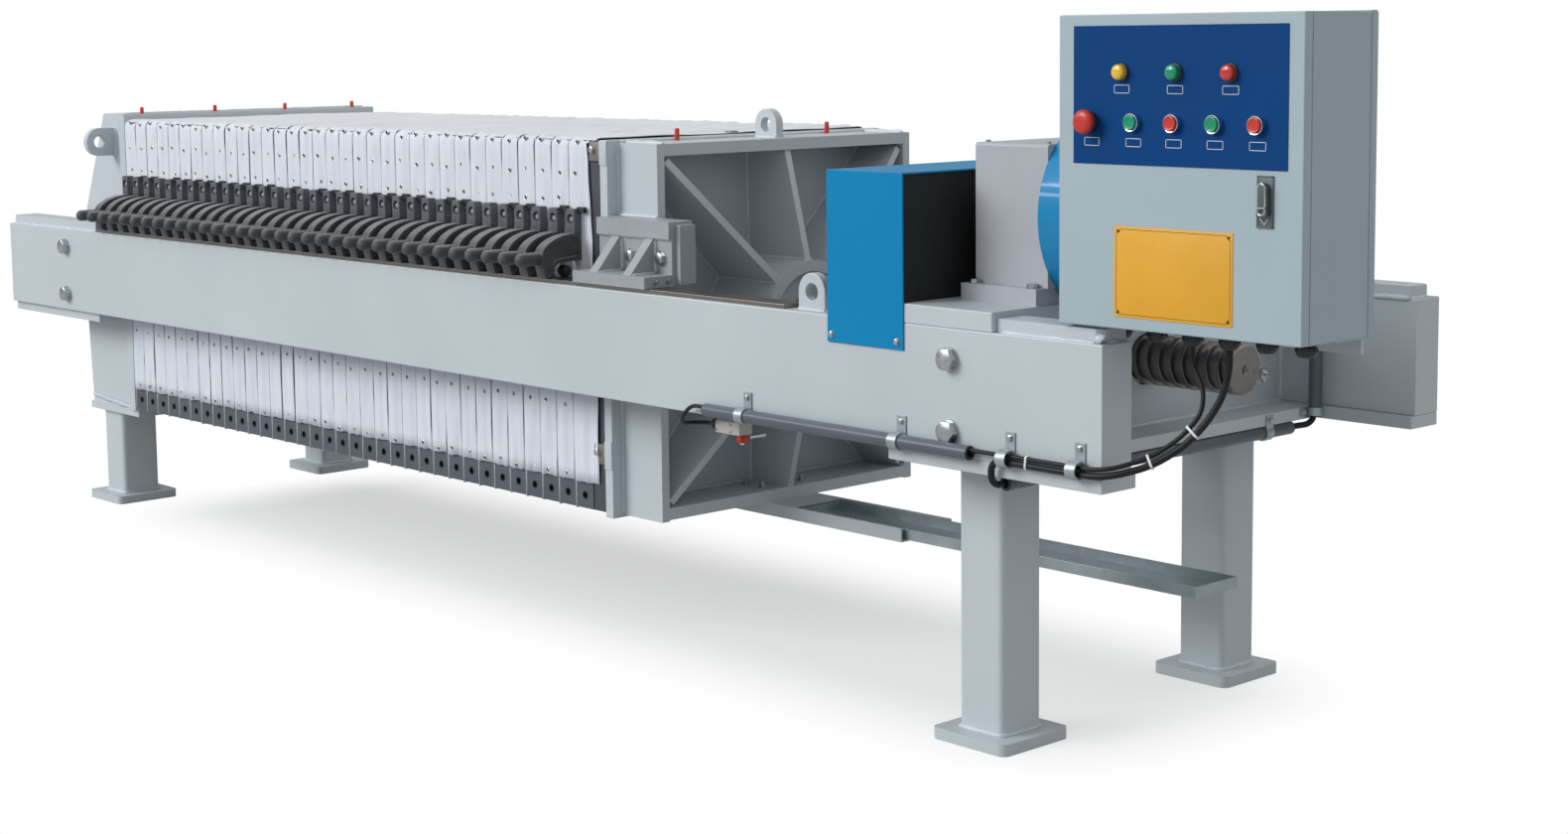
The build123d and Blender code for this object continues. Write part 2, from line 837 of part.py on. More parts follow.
def make_cabinet():
    save("cabinet_body", cabinet_body())
    save("cabinet_bracket", cabinet_bracket())
    save("cabinet_door", cabinet_door())
    middle = (cabinet_bottom + cabinet_top) / 2
    save("cabinet_hinges", *[cabinet_hinge(z) for z in about(middle, hinge_spacing / 2)])
    make_panel()
    make_latch()


# Conduits with their clips
def conduit_clip(x):
    """A saddle round the conduit or the cables, with one ear screwed to the beam above it."""
    span = about(x, clip_width / 2)
    strap = rod_x(conduit_radius + clip_sheet, span, conduit_y, conduit_z)
    strap += block(span, (-half_frame - clip_sheet, -half_frame), (conduit_z, conduit_z + clip_ear))
    strap -= rod_x(conduit_radius, past(span), conduit_y, conduit_z)
    return strap - block(past(span), (-half_frame, -beam_inner), about(conduit_z, clip_ear))


def edge_clip(y):
    """A saddle that holds the cross conduit under the front edge of the sole plate."""
    span = about(y, clip_width / 2)
    strap = rod_y(conduit_radius + clip_sheet, cross_x, span, cross_z)
    ear_x = (sole_cross_right, sole_cross_right + clip_sheet)
    strap += block(ear_x, span, (cross_z, beam_bottom - clip_sheet))
    strap -= rod_y(conduit_radius, cross_x, past(span), cross_z)
    return strap - block((cross_x - clip_ear, sole_cross_right), past(span), (sole_bottom, beam_bottom))


def riser_clip():
    """A saddle that holds the riser's foot to the front edge of the sole plate."""
    z = (sole_bottom + riser_lift, beam_bottom)
    strap = rod_z(conduit_radius + clip_sheet, riser_x, riser_y, z)
    ear_x = (sole_cross_right, sole_cross_right + clip_sheet)
    strap += block(ear_x, (riser_y - riser_clip_ear, riser_y), z)
    strap -= rod_z(conduit_radius, riser_x, riser_y, past(z))
    return strap - block((sole_cross_right - clip_ear, sole_cross_right), about(riser_y, clip_ear), z)


def make_conduits():
    bore = conduit_radius - conduit_wall
    x = (run_left, run_right)
    y = (-half_frame + cross_near_inset, riser_y - cross_far_gap)
    z = (sole_bottom + riser_lift, beam_top + riser_over_beam)
    run = rod_x(conduit_radius, x, conduit_y, conduit_z) - rod_x(bore, past(x), conduit_y, conduit_z)
    cross = rod_y(conduit_radius, cross_x, y, cross_z) - rod_y(bore, cross_x, past(y), cross_z)
    riser = rod_z(conduit_radius, riser_x, riser_y, z) - rod_z(bore, riser_x, riser_y, past(z))
    save("conduits", run, cross, riser)
    save("conduit_clips", *[conduit_clip(x) for x in clip_xs], edge_clip(cross_clip_y), riser_clip())


# Limit switch, glands and cables
def limit_switch():
    x = (switch_x, switch_x + switch_length)
    y = about(switch_y, switch_width / 2)
    mount_x = about((x[0] + x[1]) / 2, switch_mount_length / 2)
    mount_y = (y[0] + switch_mount_inset, y[1] - switch_mount_inset)
    body = block(x, y, (switch_top - switch_height, switch_top))
    return body + block(mount_x, mount_y, (switch_top, beam_bottom))


def switch_lever():
    top = switch_top - switch_height - seat_gap
    z = (top - switch_hub_height, top)
    x = switch_x + switch_length - switch_hub_radius
    rod_end = -half_head - switch_rod_gap
    rod = rod_y(switch_rod_radius, x, (switch_y, rod_end), (z[0] + z[1]) / 2)
    return rod_z(switch_hub_radius, x, switch_y, z) + rod


def make_switch():
    save("limit_switch", limit_switch())
    save("switch_lever", switch_lever())


def make_glands():
    z = (cabinet_bottom - gland_length, cabinet_bottom)
    glands = [rod_z(gland_radius, x, gland_y, z) for x in gland_xs]
    x = (switch_x - switch_gland_length, switch_x)
    glands.append(rod_x(switch_gland_radius, x, switch_y, switch_top - switch_height / 2))
    box_low = motor_z - terminal_height / 2
    z = (box_low - terminal_gland_length, box_low)
    glands.append(rod_z(terminal_gland_radius, terminal_x, terminal_y, z))
    save("cable_glands", *glands)


def cable(name, radius, points):
    """A round cable along straight runs that arcs join, each as large as its two runs allow."""
    corners = [Vector(*p) for p in points]
    radii = []
    for a, b, c in zip(corners, corners[1:], corners[2:]):
        turn = radians((b - a).get_angle(c - b))
        radii.append(0.45 * min((b - a).length, (c - b).length) / tan(turn / 2))
    path = FilletPolyline(*corners, radius=radii)
    print(name, "length", round(path.length), "radii", [round(r) for r in radii])
    start = Plane(origin=path @ 0, z_dir=path % 0)
    save(name, sweep(start * Circle(radius), path=path))


def make_cables():
    low = cabinet_bottom - gland_length
    terminal_low = motor_z - terminal_height / 2 - terminal_gland_length
    cable("motor_cable", motor_cable_radius, [
        (gland_xs[3], gland_y, low), (gland_xs[3], gland_y, low - cable_lead),
        *motor_cable_near, *motor_cable_elbow, *motor_cable_far,
        (terminal_x, terminal_y, terminal_low - cable_lead), (terminal_x, terminal_y, terminal_low),
    ])
    end = (switch_x - switch_gland_length, switch_y, switch_top - switch_height / 2)
    cable("switch_cable", switch_cable_radius, [
        (gland_xs[2], gland_y, low), (gland_xs[2], gland_y, low - cable_lead),
        *switch_cable_points, (end[0] - switch_cable_lead, end[1], end[2]), end,
    ])


os.makedirs("parts", exist_ok=True)
make_legs()
make_beams()
make_thrust_head()
make_pack()
make_press_head()
make_drive()
make_cabinet()
make_conduits()
make_switch()
make_glands()
make_cables()
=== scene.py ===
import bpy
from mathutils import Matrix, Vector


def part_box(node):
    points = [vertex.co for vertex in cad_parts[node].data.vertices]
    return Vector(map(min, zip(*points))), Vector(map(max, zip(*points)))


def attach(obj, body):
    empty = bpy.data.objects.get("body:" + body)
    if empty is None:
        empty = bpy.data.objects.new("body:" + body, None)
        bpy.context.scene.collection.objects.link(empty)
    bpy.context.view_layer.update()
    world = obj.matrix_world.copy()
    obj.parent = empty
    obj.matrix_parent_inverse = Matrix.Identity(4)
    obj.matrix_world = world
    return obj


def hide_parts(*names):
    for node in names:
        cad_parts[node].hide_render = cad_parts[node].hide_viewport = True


bl_info = {
    "name": "Plate filter press",
    "version": (1, 0, 0),
    "blender": (4, 5, 0),
    "location": "View3D > Sidebar > Filter press",
    "description": "Finishes, cloths, handles and fittings of a plate filter press, on its packed frame",
    "category": "Object",
}

from math import atan2, ceil, cos, hypot, pi, radians, sin
from random import Random

import bmesh
import bpy
from bpy.props import FloatProperty, FloatVectorProperty, IntProperty, PointerProperty
from mathutils import Matrix, Vector, noise

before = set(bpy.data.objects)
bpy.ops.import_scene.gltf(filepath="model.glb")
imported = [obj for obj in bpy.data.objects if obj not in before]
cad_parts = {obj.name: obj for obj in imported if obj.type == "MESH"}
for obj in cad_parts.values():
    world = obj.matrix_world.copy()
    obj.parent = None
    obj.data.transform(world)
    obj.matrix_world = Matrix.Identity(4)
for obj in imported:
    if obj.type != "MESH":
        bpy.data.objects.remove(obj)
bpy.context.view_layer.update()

MM = 0.001
RIGHT, LEFT, FRONT, BACK, UP, DOWN = (1, 0, 0), (-1, 0, 0), (0, -1, 0), (0, 1, 0), (0, 0, 1), (0, 0, -1)

# Places that the frame's boxes don't give, in millimetres as everything below unless it says metres
LEFT_LEGS = -1878.5  # X of the left legs' centre, from which the machine is measured
MIDDLE = 676.0  # height of the plates' centre and of the screw
BEAM_TOP, BEAM_FOOT, BEAM_INSIDE = 776, 552, 423
PLATES, PITCH, HALF = 34, 60.0, 395.0
PACK_LEFT = LEFT_LEGS + 181
EYELET_ROWS = (1066, 1004, 942, 501, 350)
MOTOR_Y, MOTOR_Z = -203, 940
LEG_HALF, LEG_CORNER, FOOT = 53.5, 12, 22
LUG_X, LUG_RADIUS = LEFT_LEGS + 2988, 36
SIDES = (-1, 1)  # the operator's side and the far side


# Sizes and colours that a user would change

def colour(name, description, value):
    return FloatVectorProperty(
        name=name, description=description, default=value, size=3, min=0, max=1, subtype="COLOR"
    )


def length(name, description, value):
    """A size in metres that is written in millimetres."""
    return FloatProperty(name=name, description=description, default=value * MM, unit="LENGTH")


def angle_of(name, description, degrees):
    return FloatProperty(name=name, description=description, default=radians(degrees), subtype="ANGLE")


def power(name, description, value):
    return FloatProperty(name=name, description=description, default=value, min=0)


class PressColours(bpy.types.PropertyGroup):
    frame_paint: colour("Frame paint", "Satin machine paint of beams, heads and legs", (0.51, 0.565, 0.60))
    shoe_paint: colour("Shoe paint", "Darker paint of the shoes", (0.33, 0.36, 0.39))
    cover_blue: colour("Cover blue", "Gloss paint of the motor cover and the guard", (0.0, 0.225, 0.48))
    cabinet_paint: colour("Cabinet paint", "Powder coat of the control cabinet", (0.37, 0.465, 0.51))
    panel_blue: colour("Panel blue", "Operator panel", (0.002, 0.052, 0.20))
    plate_yellow: colour("Plate yellow", "Bare plate on the cabinet's door", (0.77, 0.39, 0.022))
    cloth: colour("Cloth", "Woven filter cloth", (0.68, 0.72, 0.785))
    slate: colour("Plate plastic", "Moulded filter plates", (0.075, 0.09, 0.11))
    handle: colour("Handle plastic", "Moulded handles", (0.066, 0.071, 0.080))
    conduit: colour("Conduit", "Grey plastic conduit", (0.088, 0.108, 0.132))
    red: colour("Red", "Plugs, stop buttons and the switch's lever", (0.56, 0.034, 0.022))
    green: colour("Green", "Start buttons and the middle lamp", (0.0, 0.28, 0.14))
    amber: colour("Amber", "Left lamp", (0.80, 0.52, 0.03))


class PressCloths(bpy.types.PropertyGroup):
    thickness: length("Cloth thickness", "Thickness of the woven cloth", 1.6)
    crown: length("Crown", "How far a cloth's edge stands out between two seams", 6.0)
    ripple: length("Ripple", "Depth of the folds along a cloth's edge", 2.3)
    hem: length("Hem wave", "How far the lower hem wanders up and down", 4.0)
    eyelet: length("Eyelet radius", "Outer radius of the eyelets", 5.2)


class PressSizes(bpy.types.PropertyGroup):
    weld: length("Weld bead", "Radius of the weld beads", 5.5)
    thread_pitch: length("Thread pitch", "Pitch of the screw's square thread", 27.0)
    thread_depth: length("Thread depth", "Depth of the screw's square thread", 7.0)
    frame_bolt: length("Frame bolt", "Width across flats of the beams' bolts", 36.0)
    shoe_bolt: length("Shoe bolt", "Width across flats of the shoes' bolts", 22.0)
    gear_bolt: length("Gearbox bolt", "Width across flats of the gearbox's foot bolts", 17.0)
    ear_screw: length("Ear screw", "Width across flats of the small screws", 9.0)
    cable_tie: length("Cable tie", "Width of the cable ties", 4.0)
    grip_sides: IntProperty(name="Grip sides", description="Faces round a handle's grip", default=18, min=8)


class PressStage(bpy.types.PropertyGroup):
    lens: FloatProperty(name="Lens", description="Focal length", default=54.75, unit="CAMERA")
    camera: FloatVectorProperty(
        name="Camera", description="Place of the camera", default=(4.3205, -3.494, 1.279),
        subtype="TRANSLATION"
    )
    yaw: angle_of("Yaw", "Turn of the view from the front", -47.398)
    pitch: angle_of("Pitch", "Tilt of the view below level", 6.205)
    roll: angle_of("Roll", "Turn about the line of sight", -0.602)
    shift: FloatProperty(name="Shift", description="Vertical shift of the frame", default=-0.0759)
    key: power("Key light", "Strength of the soft main light", 1.62)
    fill: power("Fill light", "Strength of the light from behind", 0.25)
    sky: power("Sky", "Strength of the plain surroundings", 0.56)


GROUPS = {
    "press_colours": PressColours, "press_cloths": PressCloths,
    "press_sizes": PressSizes, "press_stage": PressStage,
}


def span(node):
    """The low and high corner of a CAD node's box."""
    low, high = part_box(node)
    return low / MM, high / MM


def sizes():
    return bpy.context.scene.press_sizes


def cloths():
    return bpy.context.scene.press_cloths


# Mesh forms, each a list of points and a list of faces

def facing(place, direction, spin=0.0):
    """A matrix that stands a form, made along +Z, at a place so that it points along a direction."""
    turn = Vector(direction).to_track_quat("Z", "Y").to_matrix().to_4x4()
    return Matrix.Translation(Vector(place)) @ turn @ Matrix.Rotation(spin, 4, "Z")


class Form:
    """One piece's mesh while it is made. A mark is the number of a face's finish."""

    def __init__(self):
        self.points, self.faces, self.marks = [], [], []

    def add(self, shape, place=None, mark=0):
        points, faces = shape
        start = len(self.points)
        place = place or Matrix.Identity(4)
        self.points += [place @ Vector(p) for p in points]
        self.faces += [[start + i for i in face] for face in faces]
        self.marks += [mark] * len(faces)
        return self

    def turn(self, profile, sides, place, direction, mark=0):
        return self.add(turned(profile, sides), facing(place, direction), mark)

    def block(self, x, y, z, edge=0.8, mark=0):
        return self.add(slab((x[0], y[0], z[0]), (x[1], y[1], z[1]), edge), mark=mark)

    def border(self, x, y, z, wide, edge=0.0, notch=0.0, mark=0):
        """Four bars just inside a rectangle. A notch leaves its corners open."""
        for a, b in ((z[0], z[0] + wide), (z[1] - wide, z[1])):
            self.block((x[0] + notch, x[1] - notch), y, (a, b), edge, mark)
        for a, b in ((x[0], x[0] + wide), (x[1] - wide, x[1])):
            self.block((a, b), y, (z[0] + notch, z[1] - notch), edge, mark)

    def lay(self, seed, share, *corners, step=5.0):
        """A weld bead along corners, whose radius is a share of the usual one."""
        return self.add(bead(corners, sizes().weld / MM * share, seed, step))

    def piece(self, name, body, slot, *finishes, angle=35, replaces=None):
        mesh = bpy.data.meshes.new(name)
        mesh.from_pydata([p * MM for p in self.points], [], self.faces)
        for finish in finishes:
            mesh.materials.append(material(finish))
        mesh.polygons.foreach_set("material_index", self.marks)
        mesh.shade_smooth()
        mesh.set_sharp_from_angle(angle=radians(angle))
        mesh.update()
        made = bpy.data.objects.new(name, mesh)
        bpy.context.scene.collection.objects.link(made)
        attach(made, body)
        if replaces:
            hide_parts(replaces)
        return made


def arc(start, end, step, radius, centre=(0, 0), tall=None):
    """Points round a centre from one angle to another in degrees, the end included."""
    turns = [radians(a) for a in range(start, end + 1, step)]
    return [(centre[0] + radius * cos(t), centre[1] + (tall or radius) * sin(t)) for t in turns]


def skin(rows, sides, closed=True):
    """Faces between rows of points that follow one another. A closed row goes round."""
    width = sides if closed else sides + 1
    faces = []
    for row in range(rows - 1):
        for k in range(sides):
            a, b = row * width + k, row * width + (k + 1) % width
            faces.append((a, b, b + width, a + width))
    return faces


def turned(profile, sides=32):
    """A form turned about Z from (radius, height) points."""
    points, rings, faces = [], [], []
    for radius, z in profile:
        if radius < 1e-6:
            rings.append([len(points)])
            points.append((0, 0, z))
            continue
        rings.append(list(range(len(points), len(points) + sides)))
        turns = [2 * pi * i / sides for i in range(sides)]
        points += [(radius * cos(t), radius * sin(t), z) for t in turns]
    for low, high in zip(rings, rings[1:]):
        for i in range(sides):
            j = (i + 1) % sides
            quad = [low[i % len(low)], low[j % len(low)], high[j % len(high)], high[i % len(high)]]
            faces.append(list(dict.fromkeys(quad)))
    return points, faces


def disc(radius, height, edge=0.6, sides=32):
    """A round disc with small chamfers that stands on Z = 0."""
    flat = radius - edge
    profile = [(0, 0), (flat, 0), (radius, edge), (radius, height - edge), (flat, height), (0, height)]
    return turned(profile, sides)


def hexagon(across, height):
    """A hexagon head whose corners are turned off at the top."""
    corner, flat = across / 2 / cos(pi / 6), across / 2
    points, faces = [(0, 0, 0)], []
    rings = (
        (corner, flat, 0, 0), (corner, flat, height * 0.84, height * 0.97),
        (flat * 0.95, flat * 0.95, height, height),
    )
    for at_corner, at_flat, z_corner, z_flat in rings:
        for i in range(12):
            radius, z = (at_flat, z_flat) if i % 2 else (at_corner, z_corner)
            points.append((radius * cos(pi * i / 6), radius * sin(pi * i / 6), z))
    points.append((0, 0, height))
    for i in range(12):
        j = (i + 1) % 12
        faces.append((0, 1 + j, 1 + i))
        for ring in (1, 13):
            faces.append((ring + i, ring + j, ring + 12 + j, ring + 12 + i))
        faces.append((25 + i, 25 + j, 37))
    return points, faces


def from_bmesh(bm):
    points = [tuple(v.co) for v in bm.verts]
    bm.verts.index_update()
    faces = [[v.index for v in f.verts] for f in bm.faces]
    bm.free()
    return points, faces


def bevel(bm, edges, offset, segments=2):
    bmesh.ops.bevel(
        bm, geom=edges, offset=offset, segments=segments, profile=0.6, affect="EDGES", clamp_overlap=True
    )


def rounded(bm, edge, segments=2, sharper=radians(30)):
    """Rounds every edge of a bmesh that is sharper than an angle."""
    sharp = [e for e in bm.edges if len(e.link_faces) == 2 and e.calc_face_angle(0) > sharper]
    if edge > 0:
        bevel(bm, sharp, edge, segments)
    return from_bmesh(bm)


def slab(low, high, edge=0.8, segments=2):
    """A box between two corners with rounded edges."""
    bm = bmesh.new()
    low, high = Vector(low), Vector(high)
    size = Matrix.Diagonal((*(high - low), 1))
    bmesh.ops.create_cube(bm, size=1, matrix=Matrix.Translation((low + high) / 2) @ size)
    return rounded(bm, edge, segments)


def extruded(bm, outline, path):
    """Draws a closed outline out along a path."""
    face = bm.faces.new([bm.verts.new(p) for p in outline])
    made = bmesh.ops.extrude_face_region(bm, geom=[face])["geom"]
    bmesh.ops.translate(bm, vec=path, verts=[g for g in made if isinstance(g, bmesh.types.BMVert)])
    bmesh.ops.recalc_face_normals(bm, faces=bm.faces)


def tube(path, radius, sides=10):
    """A round tube along points. The radius is a number or a list, one for each point."""
    path = [Vector(p) for p in path]
    radii = radius if isinstance(radius, list) else [radius] * len(path)
    across = (path[1] - path[0]).orthogonal().normalized()
    points = []
    for i, p in enumerate(path):
        along = (path[min(i + 1, len(path) - 1)] - path[max(i - 1, 0)]).normalized()
        across = (across - along * across.dot(along)).normalized()
        other = along.cross(across)
        turns = [2 * pi * k / sides for k in range(sides)]
        points += [p + radii[i] * (across * cos(t) + other * sin(t)) for t in turns]
    ends = [tuple(reversed(range(sides))), tuple(range(len(points) - sides, len(points)))]
    return points, skin(len(path), sides) + ends


def bead(corners, radius, seed, step=5.0):
    """A weld bead along corners, with the ripple and the small swells that a welder leaves."""
    rng = Random(seed)
    path, radii, run = [], [], 0.0
    for a, b in zip(corners, corners[1:]):
        a, b = Vector(a), Vector(b)
        count = max(2, ceil((b - a).length / step))
        for i in range(count + (b == Vector(corners[-1]))):
            p = a.lerp(b, min(i / count, 1))
            swell = 0.85 + 0.22 * noise.noise(p * 0.03 + Vector((seed, 0, 0))) + 0.12 * abs(sin(run * 0.9))
            shake = Vector((rng.uniform(-1, 1), rng.uniform(-1, 1), rng.uniform(-1, 1))) * radius * 0.10
            path.append(p + shake)
            radii.append(radius * swell)
            run += step
    radii[0] *= 0.5
    radii[-1] *= 0.5
    return tube(path, radii, 7)


def bolt(form, place, direction, across, washer=1.2, spin=0.2, stud=0.0, mark=0):
    """A hexagon bolt head or nut on its washer, with the end of a stud where one shows."""
    thick, thread = across * 0.09, 0.9
    turn = facing(place, direction, spin)
    form.add(disc(across * washer / 2, thick, 0.4, 28), turn, mark)
    up = turn @ Matrix.Translation((0, 0, thick))
    form.add(hexagon(across, across * 0.40), up, mark)
    if stud:
        core = across * 0.3
        ridges = [(core + 0.5 * (i % 2), across * 0.38 + i * thread) for i in range(int(stud / thread))]
        form.add(turned([(0, core), *ridges, (0, ridges[-1][1] + 0.5)], 12), up, mark)


def cap_screw(form, place, direction, radius, mark=0):
    """A low round screw head with a hexagon socket."""
    turn = facing(place, direction, 0.3)
    for sides, profile in (
        (20, ((0, 0), (1, 0), (1, 0.45), (0.86, 0.62), (0.5, 0.68))),
        (6, ((0.5, 0.68), (0.48, 0.2), (0, 0.18))),
    ):
        form.add(turned([(radius * r, radius * z) for r, z in profile], sides), turn, mark)


# Finishes

class Tree:
    """Adds and joins the shader nodes of one material, world or group."""

    def __init__(self, tree):
        self.tree = tree

    def give(self, socket, value):
        if isinstance(value, bpy.types.NodeSocket):
            self.tree.links.new(value, socket)
        else:
            socket.default_value = value

    def node(self, kind, out=None, **inputs):
        """A node. Its properties begin with _, its inputs are named or are i and their number."""
        made = self.tree.nodes.new(kind)
        for name in [k for k in inputs if k.startswith("_")]:
            setattr(made, name[1:], inputs.pop(name))
        for name, value in inputs.items():
            wanted = name.replace("_", " ").lower()
            by_number = name[0] == "i" and name[1:].isdigit()
            self.give(made.inputs[int(name[1:])] if by_number else next(
                s for s in made.inputs if s.name.lower() == wanted and s.enabled
            ), value)
        return next(s for s in made.outputs if s.name == out and s.enabled) if out else made

    def math(self, operation, a, b=0.0, clamp=False):
        return self.node("ShaderNodeMath", "Value", i0=a, i1=b, _operation=operation, _use_clamp=clamp)

    def mix(self, mask, a, b):
        made = self.tree.nodes.new("ShaderNodeMix")
        made.data_type = "RGBA"
        for place, value in ((0, mask), (6, a), (7, b)):
            self.give(made.inputs[place], (*value, 1) if isinstance(value, tuple) else value)
        return made.outputs[2]

    def ramp(self, value, low, high, to_low=0.0, to_high=1.0):
        return self.node("ShaderNodeMapRange", "Result", i0=value, i1=low, i2=high, i3=to_low, i4=to_high)

    def where(self):
        return self.node("ShaderNodeTexCoord", "Object")

    def noise(self, vector, scale, detail=3.0, roughness=0.55):
        return self.node(
            "ShaderNodeTexNoise", "Fac", Vector=vector, Scale=scale, Detail=detail, Roughness=roughness
        )

    def use(self, made, out, **inputs):
        return self.node("ShaderNodeGroup", out, _node_tree=made, **inputs)

    def leave(self, kind, shader):
        self.tree.links.new(shader.outputs[0], self.tree.nodes.new(kind).inputs[0])


def cleared(owner):
    """The empty node tree of a new material or world."""
    owner.use_nodes = True
    owner.node_tree.nodes.clear()
    return Tree(owner.node_tree)


def group(name, output, **inputs):
    """Turns a function that adds nodes into one that gives their shader node group, built once."""
    def of(build):
        def made():
            held = bpy.data.node_groups.get(name)
            if held:
                return held
            held = bpy.data.node_groups.new(name, "ShaderNodeTree")
            for label, default in inputs.items():
                kind = "NodeSocketVector" if isinstance(default, tuple) else "NodeSocketFloat"
                held.interface.new_socket(label, in_out="INPUT", socket_type=kind).default_value = default
            held.interface.new_socket(output, in_out="OUTPUT", socket_type="NodeSocketFloat")
            given, leave = held.nodes.new("NodeGroupInput"), held.nodes.new("NodeGroupOutput")
            value = build(Tree(held), {s.name: s for s in given.outputs})
            held.links.new(value, leave.inputs[output])
            return held
        return made
    return of


@group("Mottle", "Mask", Scale=3.0)
def mottle(t, given):
    """Slow changes of shade across a surface."""
    return t.ramp(t.noise(t.where(), given["Scale"], 4), 0.3, 0.7)


@group("Grain", "Height", Scale=900.0, Depth=0.5)
def grain(t, given):
    """The fine texture of sprayed paint, powder coat or moulded plastic."""
    return t.math("MULTIPLY", t.noise(t.where(), given["Scale"], 2, 0.6), given["Depth"])


@group("Dust", "Mask", Amount=0.5)
def dust(t, given):
    """A mask of faces that look up, in patches: real dust on paint and cloth, painted light from above on the
    moulded plastic.
    """
    normal = t.node("ShaderNodeNewGeometry", "Normal")
    up = t.node("ShaderNodeSeparateXYZ", "Z", Vector=normal)
    patches = t.noise(t.where(), 14.0, 5, 0.65)
    lying = t.ramp(up, 0.55, 0.98)
    return t.math("MULTIPLY", t.math("MULTIPLY", lying, patches), given["Amount"], True)


@group("Streaks", "Height", Stretch=(20.0, 900.0, 900.0))
def streaks(t, given):
    """Fine lines that a tool or a brush leaves along one direction."""
    drawn = t.node(
        "ShaderNodeVectorMath", "Vector", i0=t.where(), i1=given["Stretch"], _operation="MULTIPLY"
    )
    return t.noise(drawn, 1.0, 3, 0.7)


@group("Weave", "Height", Threads=5200.0)
def weave(t, given):
    """The threads of a woven cloth, seen from any side."""
    parts = t.node("ShaderNodeSeparateXYZ", Vector=t.where())
    rows = [t.math("SINE", t.math("MULTIPLY", out, given["Threads"])) for out in parts.outputs]
    warp = t.math("MULTIPLY", rows[2], t.math("ADD", rows[0], rows[1]))
    slubs = t.noise(t.where(), 260.0, 2)
    return t.math("ADD", warp, t.math("MULTIPLY", slubs, 0.8))


def shades(t, base, scale, darker, lighter):
    """A colour that changes slowly between two shares of itself, and the mask of that change."""
    broad = t.use(mottle(), "Mask", Scale=scale)
    dark = tuple(c * f for c, f in zip(base, darker))
    return broad, t.mix(broad, dark, tuple(min(1, c * lighter) for c in base))


def principled(made, t, tint, strength, distance, height, **constants):
    """Ends a material with a Principled shader whose normals follow a height."""
    normal = t.node("ShaderNodeBump", "Normal", Strength=strength, Distance=distance, Height=height)
    t.leave("ShaderNodeOutputMaterial", t.node(
        "ShaderNodeBsdfPrincipled", Base_Color=tint, Normal=normal, **constants
    ))
    return made


def surface(name, base, roughness, shade, scale, bump, metallic=0.0, grain_scale=900.0,
            dusty=0.0, stretch=None, rough_shift=0.08, **constants):
    """A Principled finish with mottled colour and roughness, a fine texture and dust on top."""
    made = bpy.data.materials.new(name)
    t = cleared(made)
    broad, tint = shades(t, base, scale, [1 - shade] * 3, 1 + shade * 0.6)
    if dusty:
        tint = t.mix(t.use(dust(), "Mask", Amount=dusty), tint, (0.52, 0.52, 0.50))
    rough = t.ramp(broad, 0, 1, roughness - rough_shift / 2, roughness + rough_shift / 2)
    if stretch:
        height = t.use(streaks(), "Height", Stretch=stretch)
        rough = t.math("ADD", rough, t.math("MULTIPLY", t.math("SUBTRACT", height, 0.5), 0.25), True)
    else:
        height = t.use(grain(), "Height", Scale=grain_scale, Depth=1.0)
    return principled(made, t, tint, bump, 0.001, height, Roughness=rough, Metallic=metallic, **constants)


def cloth_finish(name, base):
    """White woven cloth: threads, slow shade from wear, and a faint sheen."""
    made = bpy.data.materials.new(name)
    t = cleared(made)
    _, tint = shades(t, base, 5.0, (0.93, 0.94, 0.96), 1.03)
    tint = t.mix(t.use(dust(), "Mask", Amount=0.5), tint, (0.74, 0.735, 0.72))
    threads = t.use(weave(), "Height", Threads=5200.0)
    return principled(
        made, t, tint, 0.12, 0.0006, threads, Roughness=0.78, Sheen_Weight=0.25, Sheen_Roughness=0.5
    )


def top_lit_plastic(name, base, top_light, amount):
    """Moulded plastic whose faces that look up are painted paler in patches, a painted light from above."""
    made = bpy.data.materials.new(name)
    t = cleared(made)
    broad, tint = shades(t, base, 22.0, [0.82] * 3, 1.15)
    # Painted light: the faces that look up turn to the paler top colour
    tint = t.mix(t.use(dust(), "Mask", Amount=amount), tint, top_light)
    height = t.use(grain(), "Height", Scale=620.0, Depth=1.0)
    rough = t.ramp(broad, 0, 1, 0.46, 0.62)
    return principled(made, t, tint, 0.14, 0.001, height, Roughness=rough, Specular_IOR_Level=0.4)


LENS = {"Coat_Weight": 0.6, "Coat_Roughness": 0.05}
